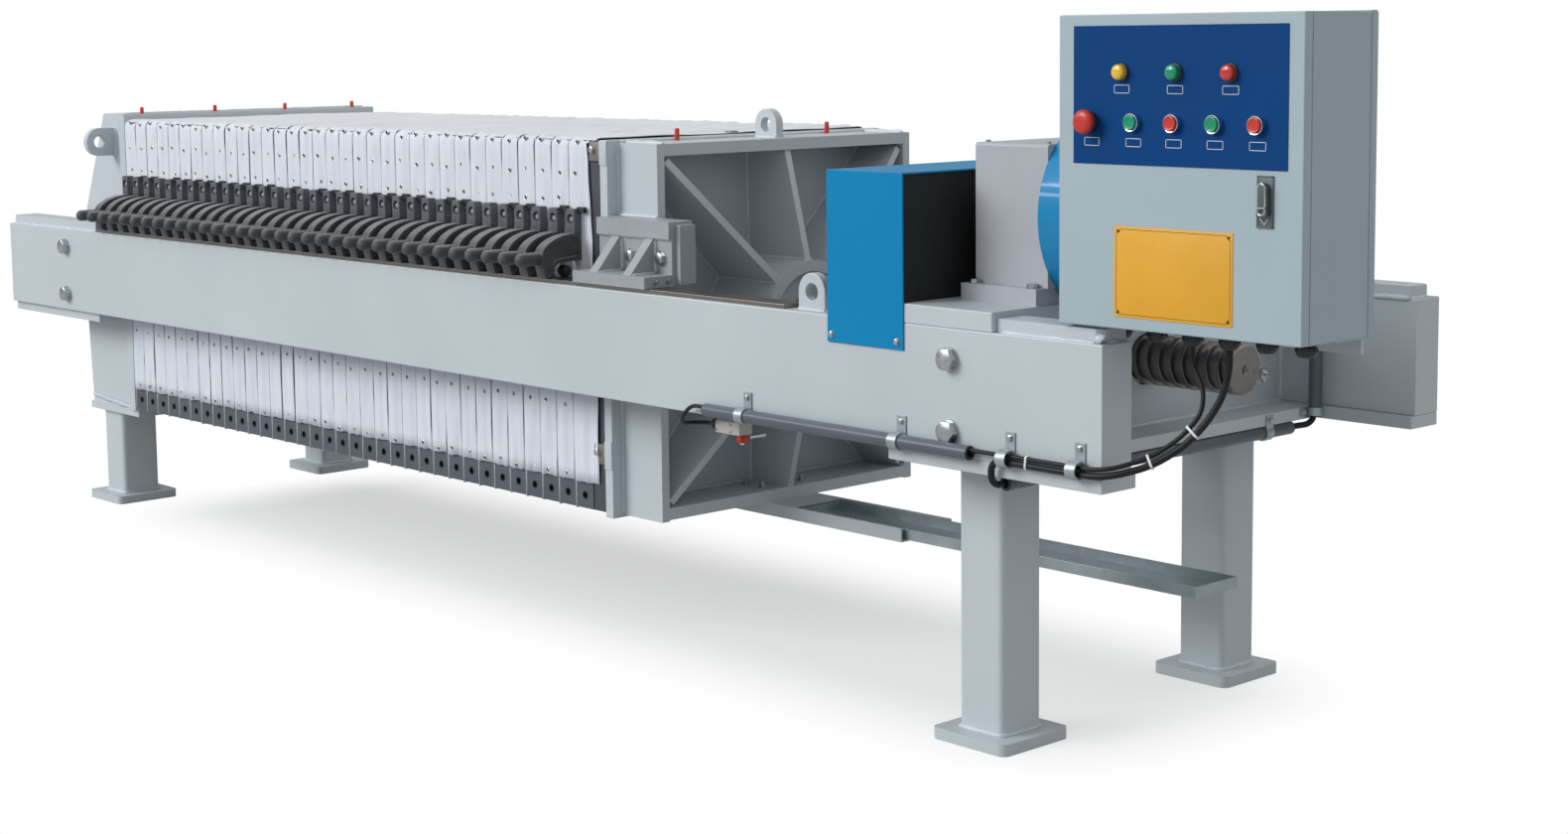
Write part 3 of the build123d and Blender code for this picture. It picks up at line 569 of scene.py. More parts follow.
# Colour, which is a share of one in PressColours or a value, then roughness, shade, scale, bump and the rest
FINISHES = {
    "Frame paint": (("frame_paint", 1), 0.42, 0.055, 2.2, 0.05, {
        "grain_scale": 500, "dusty": 0.10, "Coat_Weight": 0.12, "Coat_Roughness": 0.25}),
    "Weld paint": (("frame_paint", 1.12), 0.34, 0.10, 40, 0.35, {"grain_scale": 260}),
    "Shoe paint": (("shoe_paint", 1), 0.44, 0.09, 9, 0.08, {"grain_scale": 420, "dusty": 0.2}),
    "Cover blue": (("cover_blue", 1), 0.45, 0.05, 3, 0.02, {
        "dusty": 0.04, "Specular_IOR_Level": 0.12, "Coat_Weight": 0.10, "Coat_Roughness": 0.12}),
    "Guard blue": (("cover_blue", 1), 0.4, 0.05, 3, 0.02, {
        "Specular_IOR_Level": 0.15, "Coat_Weight": 0.55, "Coat_Roughness": 0.05}),
    "Cabinet paint": (("cabinet_paint", 1), 0.55, 0.04, 3, 0.16, {"grain_scale": 750, "dusty": 0.05}),
    "Panel blue": (("panel_blue", 1), 0.55, 0.05, 4, 0.03, {"Specular_IOR_Level": 0.08}),
    "Plate yellow": (("plate_yellow", 1), 0.42, 0.05, 8, 0.02, {}),
    "Plate plastic": (("slate", 1), 0.55, 0.16, 9, 0.12, {"grain_scale": 350, "dusty": 0.15}),
    "Tail plastic": (("slate", 0.64), 0.5, 0.16, 9, 0.12, {"grain_scale": 350, "dusty": 0.1}),
    "Latch grey": ((0.115, 0.140, 0.158), 0.36, 0.08, 30, 0.03, {"metallic": 0.35}),
    "Gear paint": ((0.42, 0.44, 0.48), 0.5, 0.05, 4, 0.04, {"dusty": 0.1}),
    # Near black, partly the motor's paint and partly painted shade for the gap beside the gearbox
    "Motor paint": ((0.030, 0.033, 0.038), 0.5, 0.2, 9, 0.08, {"grain_scale": 420}),
    "Dark plastic": ((0.018, 0.019, 0.021), 0.42, 0.2, 20, 0.08, {"grain_scale": 500}),
    "Cable sheath": ((0.010, 0.011, 0.013), 0.46, 0.2, 12, 0.06, {
        "grain_scale": 400, "Specular_IOR_Level": 0.3}),
    # Painted shade: near black, lining the inside of the motor cover and closing its end
    "Cover lining": ((0.006, 0.007, 0.009), 0.75, 0.3, 5, 0.3, {"grain_scale": 300}),
    "Conduit": (("conduit", 1), 0.32, 0.08, 6, 0.03, {"dusty": 0.12}),
    "Red": (("red", 1), 0.3, 0.07, 30, 0.02, {}),
    "Green": (("green", 1), 0.3, 0.07, 30, 0.02, {}),
    "Red lens": (("red", 1), 0.12, 0.05, 40, 0.01, LENS),
    "Green lens": (("green", 1), 0.12, 0.05, 40, 0.01, LENS),
    "Amber lens": (("amber", 1), 0.12, 0.05, 40, 0.01, LENS),
    "Chrome": ((0.72, 0.72, 0.72), 0.12, 0.03, 30, 0.01, {"metallic": 1.0, "rough_shift": 0.04}),
    "Zinc": ((0.47, 0.50, 0.52), 0.30, 0.16, 60, 0.05, {
        "metallic": 1.0, "grain_scale": 700, "rough_shift": 0.14}),
    "Galvanised": ((0.40, 0.46, 0.49), 0.42, 0.14, 26, 0.06, {
        "metallic": 0.75, "grain_scale": 300, "rough_shift": 0.16, "dusty": 0.15}),
    "Yellow zinc": ((0.225, 0.21, 0.19), 0.45, 0.15, 50, 0.08, {"metallic": 0.5}),
    # Dark steel, partly painted shade: darkened so the rails' front shows as the shadowed line under the
    # handles
    "Rail steel": ((0.25, 0.23, 0.21), 0.34, 0.12, 7, 0.10, {
        "metallic": 1.0, "stretch": (25.0, 1100.0, 1100.0)}),
    "Screw steel": ((0.21, 0.19, 0.175), 0.32, 0.22, 14, 0.10, {
        "metallic": 1.0, "stretch": (1100.0, 25.0, 1100.0)}),
    "Label white": ((0.74, 0.76, 0.78), 0.5, 0.04, 30, 0.01, {}),
    "Tie white": ((0.78, 0.78, 0.76), 0.4, 0.05, 30, 0.03, {}),
    "Border": ((0.06, 0.035, 0.012), 0.5, 0.1, 30, 0.02, {}),
    "Switch body": ((0.58, 0.55, 0.49), 0.45, 0.06, 20, 0.05, {}),
}


def material(name):
    """A finish by its name, made when it is first asked for."""
    held = bpy.data.materials.get(name)
    if held:
        return held
    c = bpy.context.scene.press_colours
    if name == "Cloth":
        return cloth_finish(name, tuple(c.cloth))
    # The pale colours given to the two moulded plastics are painted light on their faces that look up
    if name == "Handle plastic":
        return top_lit_plastic(name, tuple(c.handle), (0.36, 0.36, 0.37), 1.1)
    if name == "Block plastic":
        return top_lit_plastic(name, tuple(v * 1.5 for v in c.handle), (0.30, 0.30, 0.31), 0.6)
    base, *numbers, rest = FINISHES[name]
    if isinstance(base[0], str):
        base = tuple(v * base[1] for v in getattr(c, base[0]))
    return surface(name, base, *numbers, **rest)


def dress(node, finish, edge=0.0, angle=32):
    """Gives a CAD node its finish and, where its edges are sharp, rounds them."""
    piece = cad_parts[node]
    if not piece.material_slots:
        piece.data.materials.append(None)
    for held in piece.material_slots:
        held.material = material(finish)
    if edge:
        weld = piece.modifiers.new("Joined corners", "WELD")
        weld.merge_threshold = 0.00002
        soft = piece.modifiers.new("Rounded edges", "BEVEL")
        soft.width, soft.segments, soft.limit_method = edge * MM, 2, "ANGLE"
        soft.angle_limit = radians(angle)
        soft.use_clamp_overlap, soft.harden_normals = True, False
        piece.modifiers.new("Even shading", "WEIGHTED_NORMAL").keep_sharp = True


class PressOperator:
    """What the operators share: each one builds its pieces at once and raises if it can't."""

    bl_options = {"REGISTER", "UNDO"}

    def execute(self, context):
        self.build(context)
        return {"FINISHED"}


class FILTERPRESS_OT_stage(PressOperator, bpy.types.Operator):
    """Make the camera, the lights, the plain surroundings and the floor"""

    bl_idname = "filterpress.stage"
    bl_label = "Stage"

    def build(self, context):
        stage = context.scene.press_stage
        self.camera(context, stage)
        self.lights(context, stage)
        self.world(context, stage)
        self.floor(context)
        context.scene.view_settings.view_transform = "Standard"

    def camera(self, context, stage):
        level = cos(stage.pitch)
        forward = Vector((sin(stage.yaw) * level, cos(stage.yaw) * level, -sin(stage.pitch)))
        right = Vector((cos(stage.yaw), -sin(stage.yaw), 0))
        up = right.cross(forward)
        side = right * cos(stage.roll) + up * sin(stage.roll)
        above = up * cos(stage.roll) - right * sin(stage.roll)
        made = bpy.data.objects.new("Camera", bpy.data.cameras.new("Camera"))
        turn = Matrix((side, above, -forward)).transposed()
        made.matrix_world = Matrix.Translation(stage.camera) @ turn.to_4x4()
        made.data.lens, made.data.sensor_width = stage.lens, 36
        made.data.shift_y = stage.shift
        made.data.clip_end = 200
        context.scene.collection.objects.link(made)
        context.scene.camera = made

    def lights(self, context, stage):
        """Two soft suns, and two strips that aim at the machine, all in metres."""
        for name, toward, energy, spread in (
            ("Key light", (-0.42, -0.76, 0.50), stage.key, 32),
            ("Back light", (0.45, 0.72, 0.52), stage.fill, 60),
        ):
            lamp = bpy.data.lights.new(name, "SUN")
            lamp.energy, lamp.angle = energy, radians(spread)
            self.hang(context, lamp, (0, 0, 0), Vector(toward))
        for i, height in enumerate((2.6, 3.5)):
            lamp = bpy.data.lights.new(f"Strip light {i + 1}", "AREA")
            lamp.shape, lamp.size, lamp.size_y, lamp.energy = "RECTANGLE", 4.0, 0.28, 26
            place = Vector((-2.2, -4.6, height))
            self.hang(context, lamp, place, place - Vector((1.2, 0, 1)))

    def hang(self, context, lamp, place, toward):
        """Put a lamp at a place, so that it shines from the side that toward points to."""
        made = bpy.data.objects.new(lamp.name, lamp)
        made.location = place
        made.rotation_euler = toward.to_track_quat("Z", "Y").to_euler()
        context.scene.collection.objects.link(made)

    def world(self, context, stage):
        """White to the camera, dimmer to the pieces, and a little brighter above in mirrors."""
        world = bpy.data.worlds.new("Plain surroundings")
        t = cleared(world)
        path = t.node("ShaderNodeLightPath")
        seen = t.math("MAXIMUM", path.outputs["Is Camera Ray"], path.outputs["Is Transmission Ray"])
        strength = t.ramp(seen, 0, 1, stage.sky, 1.0)
        height = t.node("ShaderNodeSeparateXYZ", "Z", Vector=t.node("ShaderNodeTexCoord", "Generated"))
        mirrored = t.math("MULTIPLY", path.outputs["Is Glossy Ray"], t.ramp(height, -0.1, 0.8, -0.35, 0.25))
        total = t.math("ADD", strength, mirrored)
        t.leave("ShaderNodeOutputWorld", t.node("ShaderNodeBackground", Color=(1, 1, 1, 1), Strength=total))
        context.scene.world = world

    def floor(self, context):
        """A floor with a painted shadow under the machine: a grey band, where the real shadows also show,
        that fades to white further out, in metres.
        """
        mesh = bpy.data.meshes.new("Floor")
        far = 60
        mesh.from_pydata([(-far, -far, 0), (far, -far, 0), (far, far, 0), (-far, far, 0)], [], [(0, 1, 2, 3)])
        made = bpy.data.objects.new("Floor", mesh)
        context.scene.collection.objects.link(made)
        painted_shadow_floor = bpy.data.materials.new("Pale floor")
        t = cleared(painted_shadow_floor)
        # Painted shadow: inside a rounded box under the machine the white share falls to 0.56, so the grey
        # floor tone shows even where the floor is lit
        place = t.node("ShaderNodeSeparateXYZ", Vector=t.where())
        past = [
            t.math("POWER", t.math("MAXIMUM", t.math("SUBTRACT", t.math("ABSOLUTE", out), half), 0.0), 2.0)
            for out, half in zip(place.outputs, (1.42, 0.16))
        ]
        outside_shadow_band = t.node(
            "ShaderNodeMapRange", "Result", i0=t.math("SQRT", t.math("ADD", *past)),
            i1=0.0, i2=0.42, i3=0.56, i4=1.0, _interpolation_type="SMOOTHSTEP"
        )
        path = t.node("ShaderNodeLightPath")
        mirrored = t.math("MULTIPLY", path.outputs["Is Glossy Ray"], 0.35)
        seen = t.math("MAXIMUM", path.outputs["Is Camera Ray"], mirrored)
        share = t.math("MULTIPLY", outside_shadow_band, seen)
        # To the camera the floor's tone is the grey-green of the painted shadow; to other rays it is a dim
        # 0.40
        tone = t.mix(path.outputs["Is Camera Ray"], (0.40, 0.405, 0.41), (0.66, 0.71, 0.69))
        matt = t.node("ShaderNodeBsdfDiffuse", Color=tone)
        bright = t.node("ShaderNodeEmission", Color=(1, 1, 1, 1), Strength=1.0)
        both = t.node("ShaderNodeMixShader", i0=share, i1=matt.outputs[0], i2=bright.outputs[0])
        t.leave("ShaderNodeOutputMaterial", both)
        mesh.materials.append(painted_shadow_floor)


LEGS = ("near_left_leg", "far_left_leg", "near_right_leg", "far_right_leg")
# Finish, radius of the rounded edges, CAD nodes
DRESSED = (
    ("Frame paint", 1.6, (*LEGS, "press_plate", "crosshead")),
    ("Frame paint", 2.2, ("near_beam", "far_beam")),
    ("Frame paint", 2.0, ("beam_end_plates", "sole_plate", "drive_platform")),
    ("Frame paint", 1.4, ("thrust_head", "press_head_frame")),
    ("Frame paint", 1.0, ("feed_flange", "cabinet_bracket")),
    ("Frame paint", 0.8, ("tray_bracket",)),
    ("Shoe paint", 1.2, ("near_shoe", "far_shoe")),
    ("Gear paint", 2.0, ("gearbox",)),
    ("Rail steel", 0.8, ("slide_rails",)),
    ("Galvanised", 0.5, ("drip_tray",)),
    ("Galvanised", 0.3, ("conduit_clips",)),
    ("Plate plastic", 1.2, ("filter_plates",)),
    ("Tail plastic", 1.6, ("tail_plate",)),
    ("Cover blue", 0.9, ("motor_cover",)),
    ("Guard blue", 0, ("drive_guard",)),
    ("Cabinet paint", 1.5, ("cabinet_body",)),
    ("Cabinet paint", 3.0, ("cabinet_door",)),
    ("Chrome", 0.4, ("cabinet_hinges",)),
    ("Panel blue", 0.3, ("operator_panel",)),
    ("Conduit", 0, ("conduits",)),
    ("Cable sheath", 0, ("motor_cable", "switch_cable")),
)
# Nodes whose round holes keep their edges up to a steeper angle
STEEPER = {"filter_plates": 40, "conduit_clips": 50}


class FILTERPRESS_OT_structure(PressOperator, bpy.types.Operator):
    """Paint the welded structure, round its edges and finish the rails"""

    bl_idname = "filterpress.structure"
    bl_label = "Structure"

    def build(self, context):
        for finish, edge, nodes in DRESSED:
            for node in nodes:
                dress(node, finish, edge, STEEPER.get(node, 32))


class FILTERPRESS_OT_welds(PressOperator, bpy.types.Operator):
    """Lay the weld beads along the joints of the structure"""

    bl_idname = "filterpress.welds"
    bl_label = "Weld beads"

    def build(self, context):
        self.frame_welds()
        self.thrust_head_welds()
        self.press_head_welds()

    def leg_run(self, middle, z):
        """Corners of a run round a leg's rounded square tube at one height."""
        half = Vector((LEG_HALF, LEG_HALF, 0))
        low, high = middle - half, middle + half
        left, right = low.x + LEG_CORNER, high.x - LEG_CORNER
        near, far = low.y + LEG_CORNER, high.y - LEG_CORNER
        points = []
        for k, centre in enumerate(((right, far), (left, far), (left, near), (right, near))):
            points += [(*p, z) for p in arc(90 * k, 90 * k + 90, 30, LEG_CORNER, centre)]
        return points + points[:1]

    def frame_welds(self):
        form = Form()
        proud = sizes().weld / MM * 0.3
        for seed, leg in enumerate(LEGS):
            low, high = span(leg)
            form.lay(seed, 1, *self.leg_run((low + high) / 2, FOOT + proud))
            form.lay(seed + 10, 0.9, *self.leg_run((low + high) / 2, high.z - proud))
        low, high = span("near_beam")
        first, left, right = low.x + 12, low.x + 505, high.x - 231
        lug = (LUG_X - LUG_RADIUS, LUG_X + LUG_RADIUS)
        for side in SIDES:
            outer, inner = -side * low.y, side * BEAM_INSIDE
            edge = outer - side * 12
            for seed, share, z, start, end in (
                (21, 1, BEAM_TOP, (first, edge), (left, edge)),
                (25, 1, BEAM_TOP, (left, edge), (left, inner)),
                (26, 1, BEAM_TOP, (first, edge), (first, inner)),
                (31, 1, BEAM_TOP, (right, edge), (high.x - 24, edge)),
                (33, 1, BEAM_TOP, (high.x - 12, edge - side * 12), (high.x - 12, inner)),
                (35, 1, BEAM_FOOT, (low.x + 5, edge), (left, edge)),
                (36, 0.8, BEAM_TOP + 1, (low.x + 14, inner), (left, inner)),
                (37, 1.1, BEAM_TOP + 1, (right, inner), (high.x - 14, inner)),
            ):
                form.lay(seed + side, share, (*start, z), (*end, z))
            for y in (outer - side * 28.5, outer - side * 48.5):
                form.lay(41 + side, 1, (lug[0], y, BEAM_TOP), (lug[1], y, BEAM_TOP))
            for x in lug:
                form.lay(45 + side, 1, (x, outer - side * 30, BEAM_TOP), (x, outer - side * 47, BEAM_TOP))
        cross = span("crosshead")
        for x in (cross[0].x, cross[1].x):
            for side in SIDES:
                y = side * BEAM_INSIDE
                form.lay(51 + side, 1.1, (x, y, BEAM_TOP), (x, y, BEAM_FOOT))
            form.lay(55, 1, (x, -BEAM_INSIDE, BEAM_FOOT), (x, BEAM_INSIDE, BEAM_FOOT))
        blob = [(high.x - 20, low.y + 12, 783), (high.x - 12, low.y + 12, 784), (high.x - 8, low.y + 14, 782)]
        form.lay(61, 1.9, *blob, step=3)
        form.piece("frame_welds", "frame", "frame_paint", "Weld paint", angle=60)

    def thrust_head_welds(self):
        form = Form()
        low, high = span("thrust_head")
        plate, proud, cheek_out, roof = 34, 0.3, 385, high.z
        x = high.x + proud - plate
        for side in SIDES:
            cheek = side * cheek_out
            form.lay(71 + side, 1, (x, cheek, low.z + 20), (x, cheek, roof))
            form.lay(75 + side, 1, (LEFT_LEGS - 86, side * 388, 295), (x, side * 388, 278))
            for lug in (LEFT_LEGS + 80, LEFT_LEGS + 100):
                form.lay(77 + side, 1, (lug, cheek, 978), (lug, cheek, 1054))
        form.lay(81, 0.8, (x, -cheek_out, roof), (x, cheek_out, roof))
        form.lay(83, 1, *((x, *p) for p in arc(0, 360, 15, 70, (0, MIDDLE))))
        form.piece("thrust_head_welds", "frame", "frame_paint", "Weld paint", angle=60)

    def press_head_welds(self):
        form = Form()
        left = span("press_head_frame")[0].x
        hub, inside, outside, low, high, roof = 130, 350, 370, 305, 1041, 1066
        for z in (low, high):
            form.lay(z, 1, (left, -inside, z), (left, inside, z))
        form.lay(93, 1, (left, 5 - outside, roof + 1), (left, outside - 5, roof + 1))
        for side in SIDES:
            wall = side * inside
            form.lay(95 + side, 1, (left, wall, low), (left, wall, high))
            form.lay(97 + side, 0.9, (left, side * outside, low - 25), (left, side * outside, roof))
            for z in (high, low):
                form.lay(99 + side, 1, (left + 4, wall, z), (left + 124, wall, z))
            form.lay(103 + side, 1.1, (left + 4, wall, roof + 0.5), (left + 125, wall, roof + 0.5))
        for y in (-10, 10):
            form.lay(105, 1, (left + 29, y, roof), (left + 98, y, roof))
        form.lay(107, 1, *((left, *p) for p in arc(0, 360, 12, hub, (0, MIDDLE))))
        centre, back = Vector((left, 0, MIDDLE)), Vector((185, 0, 0))
        for up, height in ((1, 365), (-1, 371)):
            corner = atan2(inside, height)
            for slant in (-corner, 0, corner):
                direction = Vector((0, sin(slant), up * cos(slant)))
                aside = Vector((0, cos(slant), -up * sin(slant))) * 8
                far = (hypot(height, inside) - 18) if slant else height
                for offset in (aside, -aside):
                    start = centre + direction * hub + offset
                    form.lay(110, 0.9, start, centre + direction * far + offset)
                    form.lay(113, 0.9, start + back * 0.05, start + back)
        for side in SIDES:
            for z in (MIDDLE + 8, MIDDLE - 8):
                form.lay(117, 0.9, (left, side * hub, z), (left, side * inside, z))
        shoe = left + 2
        for side in SIDES:
            wall = side * (outside + 1)
            form.lay(121, 1, (shoe, wall, 915), (shoe + 125, wall, 915))
            form.lay(123, 0.8, (shoe, side * 425, 880), (shoe + 232, side * 425, 880))
            for rib in (49, 75, 157, 183):
                x = shoe + rib
                form.lay(125 + rib, 0.8, (x, side * 426, 876), (x, side * 426, 809))
                form.lay(127 + rib, 0.8, (x, side * 427, 808.5), (x, side * 488, 808.5))
        form.piece("press_head_welds", "press_head", "frame_paint", "Weld paint", angle=60)


class FILTERPRESS_OT_cloths(PressOperator, bpy.types.Operator):
    """Hang a woven cloth over every plate and set the eyelets in its edges"""

    bl_idname = "filterpress.cloths"
    bl_label = "Filter cloths"

    wide = PITCH - 0.1

    def build(self, context):
        eyelets = Form()
        for i in range(PLATES):
            made = self.cloth(i)
            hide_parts("filter_cloths")
            self.eyelets(eyelets, i)
        eyelets.piece("cloth_eyelets", "frame", "zinc", "Zinc", "Dark plastic")

    def rim(self):
        """Points (y, z, out) round a plate from the near hem over the top to the far hem."""
        hem, top, turn = MIDDLE - HALF + 58, MIDDLE + HALF, 14
        rows, across = 26, 22
        points = [(-HALF, hem + (top - turn - hem) * k / rows, (-1, 0)) for k in range(rows + 1)]
        for k in range(1, 4):
            a = radians(90 * k / 4)
            points.append((-HALF + turn * (1 - cos(a)), top - turn + turn * sin(a), (-cos(a), sin(a))))
        roof = 2 * HALF - 2 * turn
        points += [(-HALF + turn + roof * k / across, top, (0, 1)) for k in range(across + 1)]
        far = [(-y, z, (-o[0], o[1])) for y, z, o in points[: rows + 4]]
        return points + far[::-1]

    def stand(self, i, x, y, z, over, u):
        """How far cloth i stands off its plate's edge, x across the edge and u along its own width."""
        c = cloths()
        crown, ripple = c.crown / MM, c.ripple / MM
        rng = Random(500 + i)
        phase, slide = rng.uniform(0, 20), rng.uniform(-0.04, 0.04)
        along = noise.noise(Vector((phase, y * 0.004, z * 0.006)))
        edge = min(x, self.wide - x) / 15 if x < self.wide else 0.9
        shape = 1 - (1 - min(1, max(0, edge))) ** 2
        fold = sin(pi * (2.0 * u + 0.7 * along + slide)) * ripple * 0.55
        fold += noise.noise(Vector((x * 0.05 + phase, y * 0.010, z * 0.010))) * ripple * 1.2
        fold += noise.noise(Vector((x * 0.12, y * 0.028, z * 0.032 + phase))) * ripple * 0.5
        puff = 0.55 + 0.45 * sin(pi * min(1, max(0, x / self.wide)))
        stand = 2.2 + shape * (crown - 2.6) * puff + fold * shape
        if over:
            stand += 2.6 * noise.noise(Vector((x * 0.02 + i * 0.7, y * 0.006, 4))) * shape
        return min(stand, 7.2)

    def flap(self, y, z, over):
        """How far the last cloth reaches on over the tail plate, more the lower it hangs."""
        if over:
            return 30 + 12 * noise.noise(Vector((9, y * 0.011, 3)))
        low = (MIDDLE + HALF - z) / (2 * HALF)
        return (4 + 22 * min(1, low * 2.2)) + 4 * noise.noise(Vector((5, y, z * 0.013)))

    def cloth(self, i):
        c = cloths()
        left, last, steps = PACK_LEFT + i * PITCH, i == PLATES - 1, 15
        rim = self.rim()
        points = []
        for k, (y, z, out) in enumerate(rim):
            over = out[1] > 0.5
            reach = self.wide + (self.flap(y, z, over) if last else 0)
            for s in range(steps + 1):
                u = s / steps
                x = reach * u
                stand = self.stand(i, x, y, z, over, u)
                if last and x > self.wide:
                    stand = max(2.0, min(stand, 6.5))
                drop = 0.0
                if k in (0, len(rim) - 1):
                    drop = c.hem / MM * noise.noise(Vector((x * 0.05, i * 1.7, 0)))
                points.append((left + x + 0.3, y + out[0] * stand, z + out[1] * stand + drop))
        form = Form().add((points, skin(len(rim), steps, False)))
        form.add(self.panel(i, left + 1.2))
        made = form.piece(f"filter_cloth_{i + 1:02d}", "frame", "filter_cloth", "Cloth", angle=80)
        thick = made.modifiers.new("Cloth thickness", "SOLIDIFY")
        thick.thickness, thick.offset = c.thickness, 0
        return made

    def panel(self, i, x):
        """The cloth's part between the plates, whose hem wanders a little."""
        rows, columns = 12, 16
        points = []
        for r in range(rows + 1):
            for q in range(columns + 1):
                y = -HALF + 2 * HALF * q / columns
                z = MIDDLE - HALF + 2 * HALF * r / rows
                if r == 0:
                    z -= 2.5 + 2.2 * noise.noise(Vector((i * 2.1, y * 0.02, 1)))
                out = 1.2 * (1 if q == columns else -1 if q == 0 else 0)
                points.append((x, y + out, z))
        return points, skin(rows + 1, columns, False)

    def eyelets(self, form, i):
        radius = cloths().eyelet / MM
        ring = [(radius * 0.7, 0), (radius * 0.72, 1.0), (radius * 0.86, 1.3), (radius, 0.8), (radius, -0.6)]
        rng = Random(900 + i)
        for row in EYELET_ROWS:
            z = row + rng.uniform(-5, 5)
            x = PITCH * 0.5 + Random(int(i * 31 + row)).uniform(-5, 5)
            for side in SIDES:
                out = HALF + self.stand(i, x, side * HALF, z, False, x / PITCH) + 0.2
                spot = (PACK_LEFT + i * PITCH + x + 0.3, side * out, z)
                form.turn(ring[::-1], 14, spot, (0, side, 0))
                # The dark disc inside each ring is partly the dark plate behind the hole and partly painted
                # shade
                form.turn([(radius * 0.74, 0.75), (0, 0.75)], 14, spot, (0, side, 0), 1)


class FILTERPRESS_OT_handles(PressOperator, bpy.types.Operator):
    """Mould the plate handles on both sides, each bolted on through a recess"""

    bl_idname = "filterpress.handles"
    bl_label = "Plate handles"

    def build(self, context):
        for side, node in ((0, "near_handles"), (1, "far_handles")):
            form = Form()
            for i in range(PLATES):
                x = PACK_LEFT + (i + 0.5) * PITCH
                spot = Matrix.Translation((x, 0, 0)) @ Matrix.Rotation(pi * side, 4, "Z")
                self.handle(form, spot, i)
            form.piece(
                f"{node[:-1]}_row", "frame", "handle_plastic", "Handle plastic", "Zinc", "Dark plastic",
                "Block plastic", angle=38, replaces=node
            )

    def handle(self, form, spot, i):
        """One handle: block and bolt, arm, grip, roller, and the loose tab that many have on top."""
        inner, step, outer = 402.8, 420.6, 508.6
        top, arm, grip, rail = 926, 875, 826, 784
        rng = Random(40 + i)
        hole, depth = top - 22, 9
        form.add(self.recessed_block(15, (inner, step), (arm - 6, top), hole, 10.5, depth), spot, 3)
        turn = spot @ facing((0, depth - step, hole), FRONT, rng.uniform(0, 1))
        form.add(disc(8.2, 1.4, 0.3, 18), turn, 1)
        form.add(hexagon(10.5, 6.2), turn, 1)
        turns = [radians(a) for a in range(0, 91, 9)]
        curve = [(-step - (outer - step) * sin(a), grip + (arm - grip) * cos(a)) for a in turns]
        under = [(y, rail + z) for y, z in (
            (10 - outer, 0.3), (30 - outer, 0.3), (34 - outer, 20), (44 - outer, 30),
            (-inner - 14, 34), (-inner, 34),
        )]
        form.add(self.arm([(-inner, arm), *curve, *under]), spot)
        ball = arc(0, 90, 15, 14.6, (0, 48), 12)
        profile = [(0, 0), (12.5, 0), (13.8, 3), (14.2, 20), (14.6, 38), *ball[:-1], (0, ball[-1][1])]
        form.add(turned(profile, sizes().grip_sides), spot @ facing((0, -outer + 5, grip), FRONT))
        spool = [(0, 0), (8, 0), (11, 1.5), (11, 5), (12, 6.5)]
        spool += [(r, 25 - z) for r, z in spool[::-1]]
        form.add(turned(spool, 18), spot @ facing((-12.5, -438, rail + 12.5), RIGHT), 2)
        if rng.random() < 0.62:
            tab = slab((12, -inner - 9, top - 8), (36, -inner - 0.6, top + rng.uniform(2.5, 5.5)), 1)
            form.add(tab, spot, 2)

    def recessed_block(self, half, y, z, centre, radius, depth):
        """A block with a round blind hole in its outer face."""
        inner, outer = y
        corners, chamfer, never = 24, 1.4, 1e9
        square, circle, sunk = [], [], []
        for k in range(corners):
            a = 2 * pi * k / corners
            ca, sa = cos(a), sin(a)
            circle.append((radius * ca, centre + radius * sa))
            sunk.append((radius * 0.93 * ca, -outer + depth, centre + radius * 0.93 * sa))
            up = (z[1] - centre) if sa > 0 else (centre - z[0])
            far = min(half / abs(ca) if abs(ca) > 1e-6 else never, up / abs(sa) if abs(sa) > 1e-6 else never)
            square.append((far * ca, centre + far * sa))
        slope = 1 - chamfer / 25
        rings = [
            [(x, -inner, q) for x, q in square], [(x, -outer + chamfer, q) for x, q in square],
            [(x * (1 - chamfer / half * 0.9), -outer, centre + (q - centre) * slope) for x, q in square],
            [(x * 1.08, -outer, centre + (q - centre) * 1.08) for x, q in circle],
            [(x, -outer + 0.9, q) for x, q in circle], sunk,
        ]
        points = [p for ring in rings for p in ring]
        bottom = tuple(range(len(points) - corners, len(points)))
        return points, skin(len(rings), corners) + [bottom]

    def arm(self, outline):
        """The quarter-round arm with a sunk panel in each side."""
        bm = bmesh.new()
        half = 14.6
        extruded(bm, [(-half, y, z) for y, z in outline], (2 * half, 0, 0))
        bm.normal_update()
        bevel(bm, [e for e in bm.edges if e.calc_face_angle(0) > radians(50)], 1.6)
        bm.normal_update()
        sides = [f for f in bm.faces if abs(f.normal.x) > 0.99 and len(f.verts) > 8]
        bmesh.ops.inset_individual(bm, faces=sides, thickness=7, depth=0, use_even_offset=True)
        bmesh.ops.inset_individual(bm, faces=sides, thickness=1.2, depth=-3.5, use_even_offset=True)
        return from_bmesh(bm)


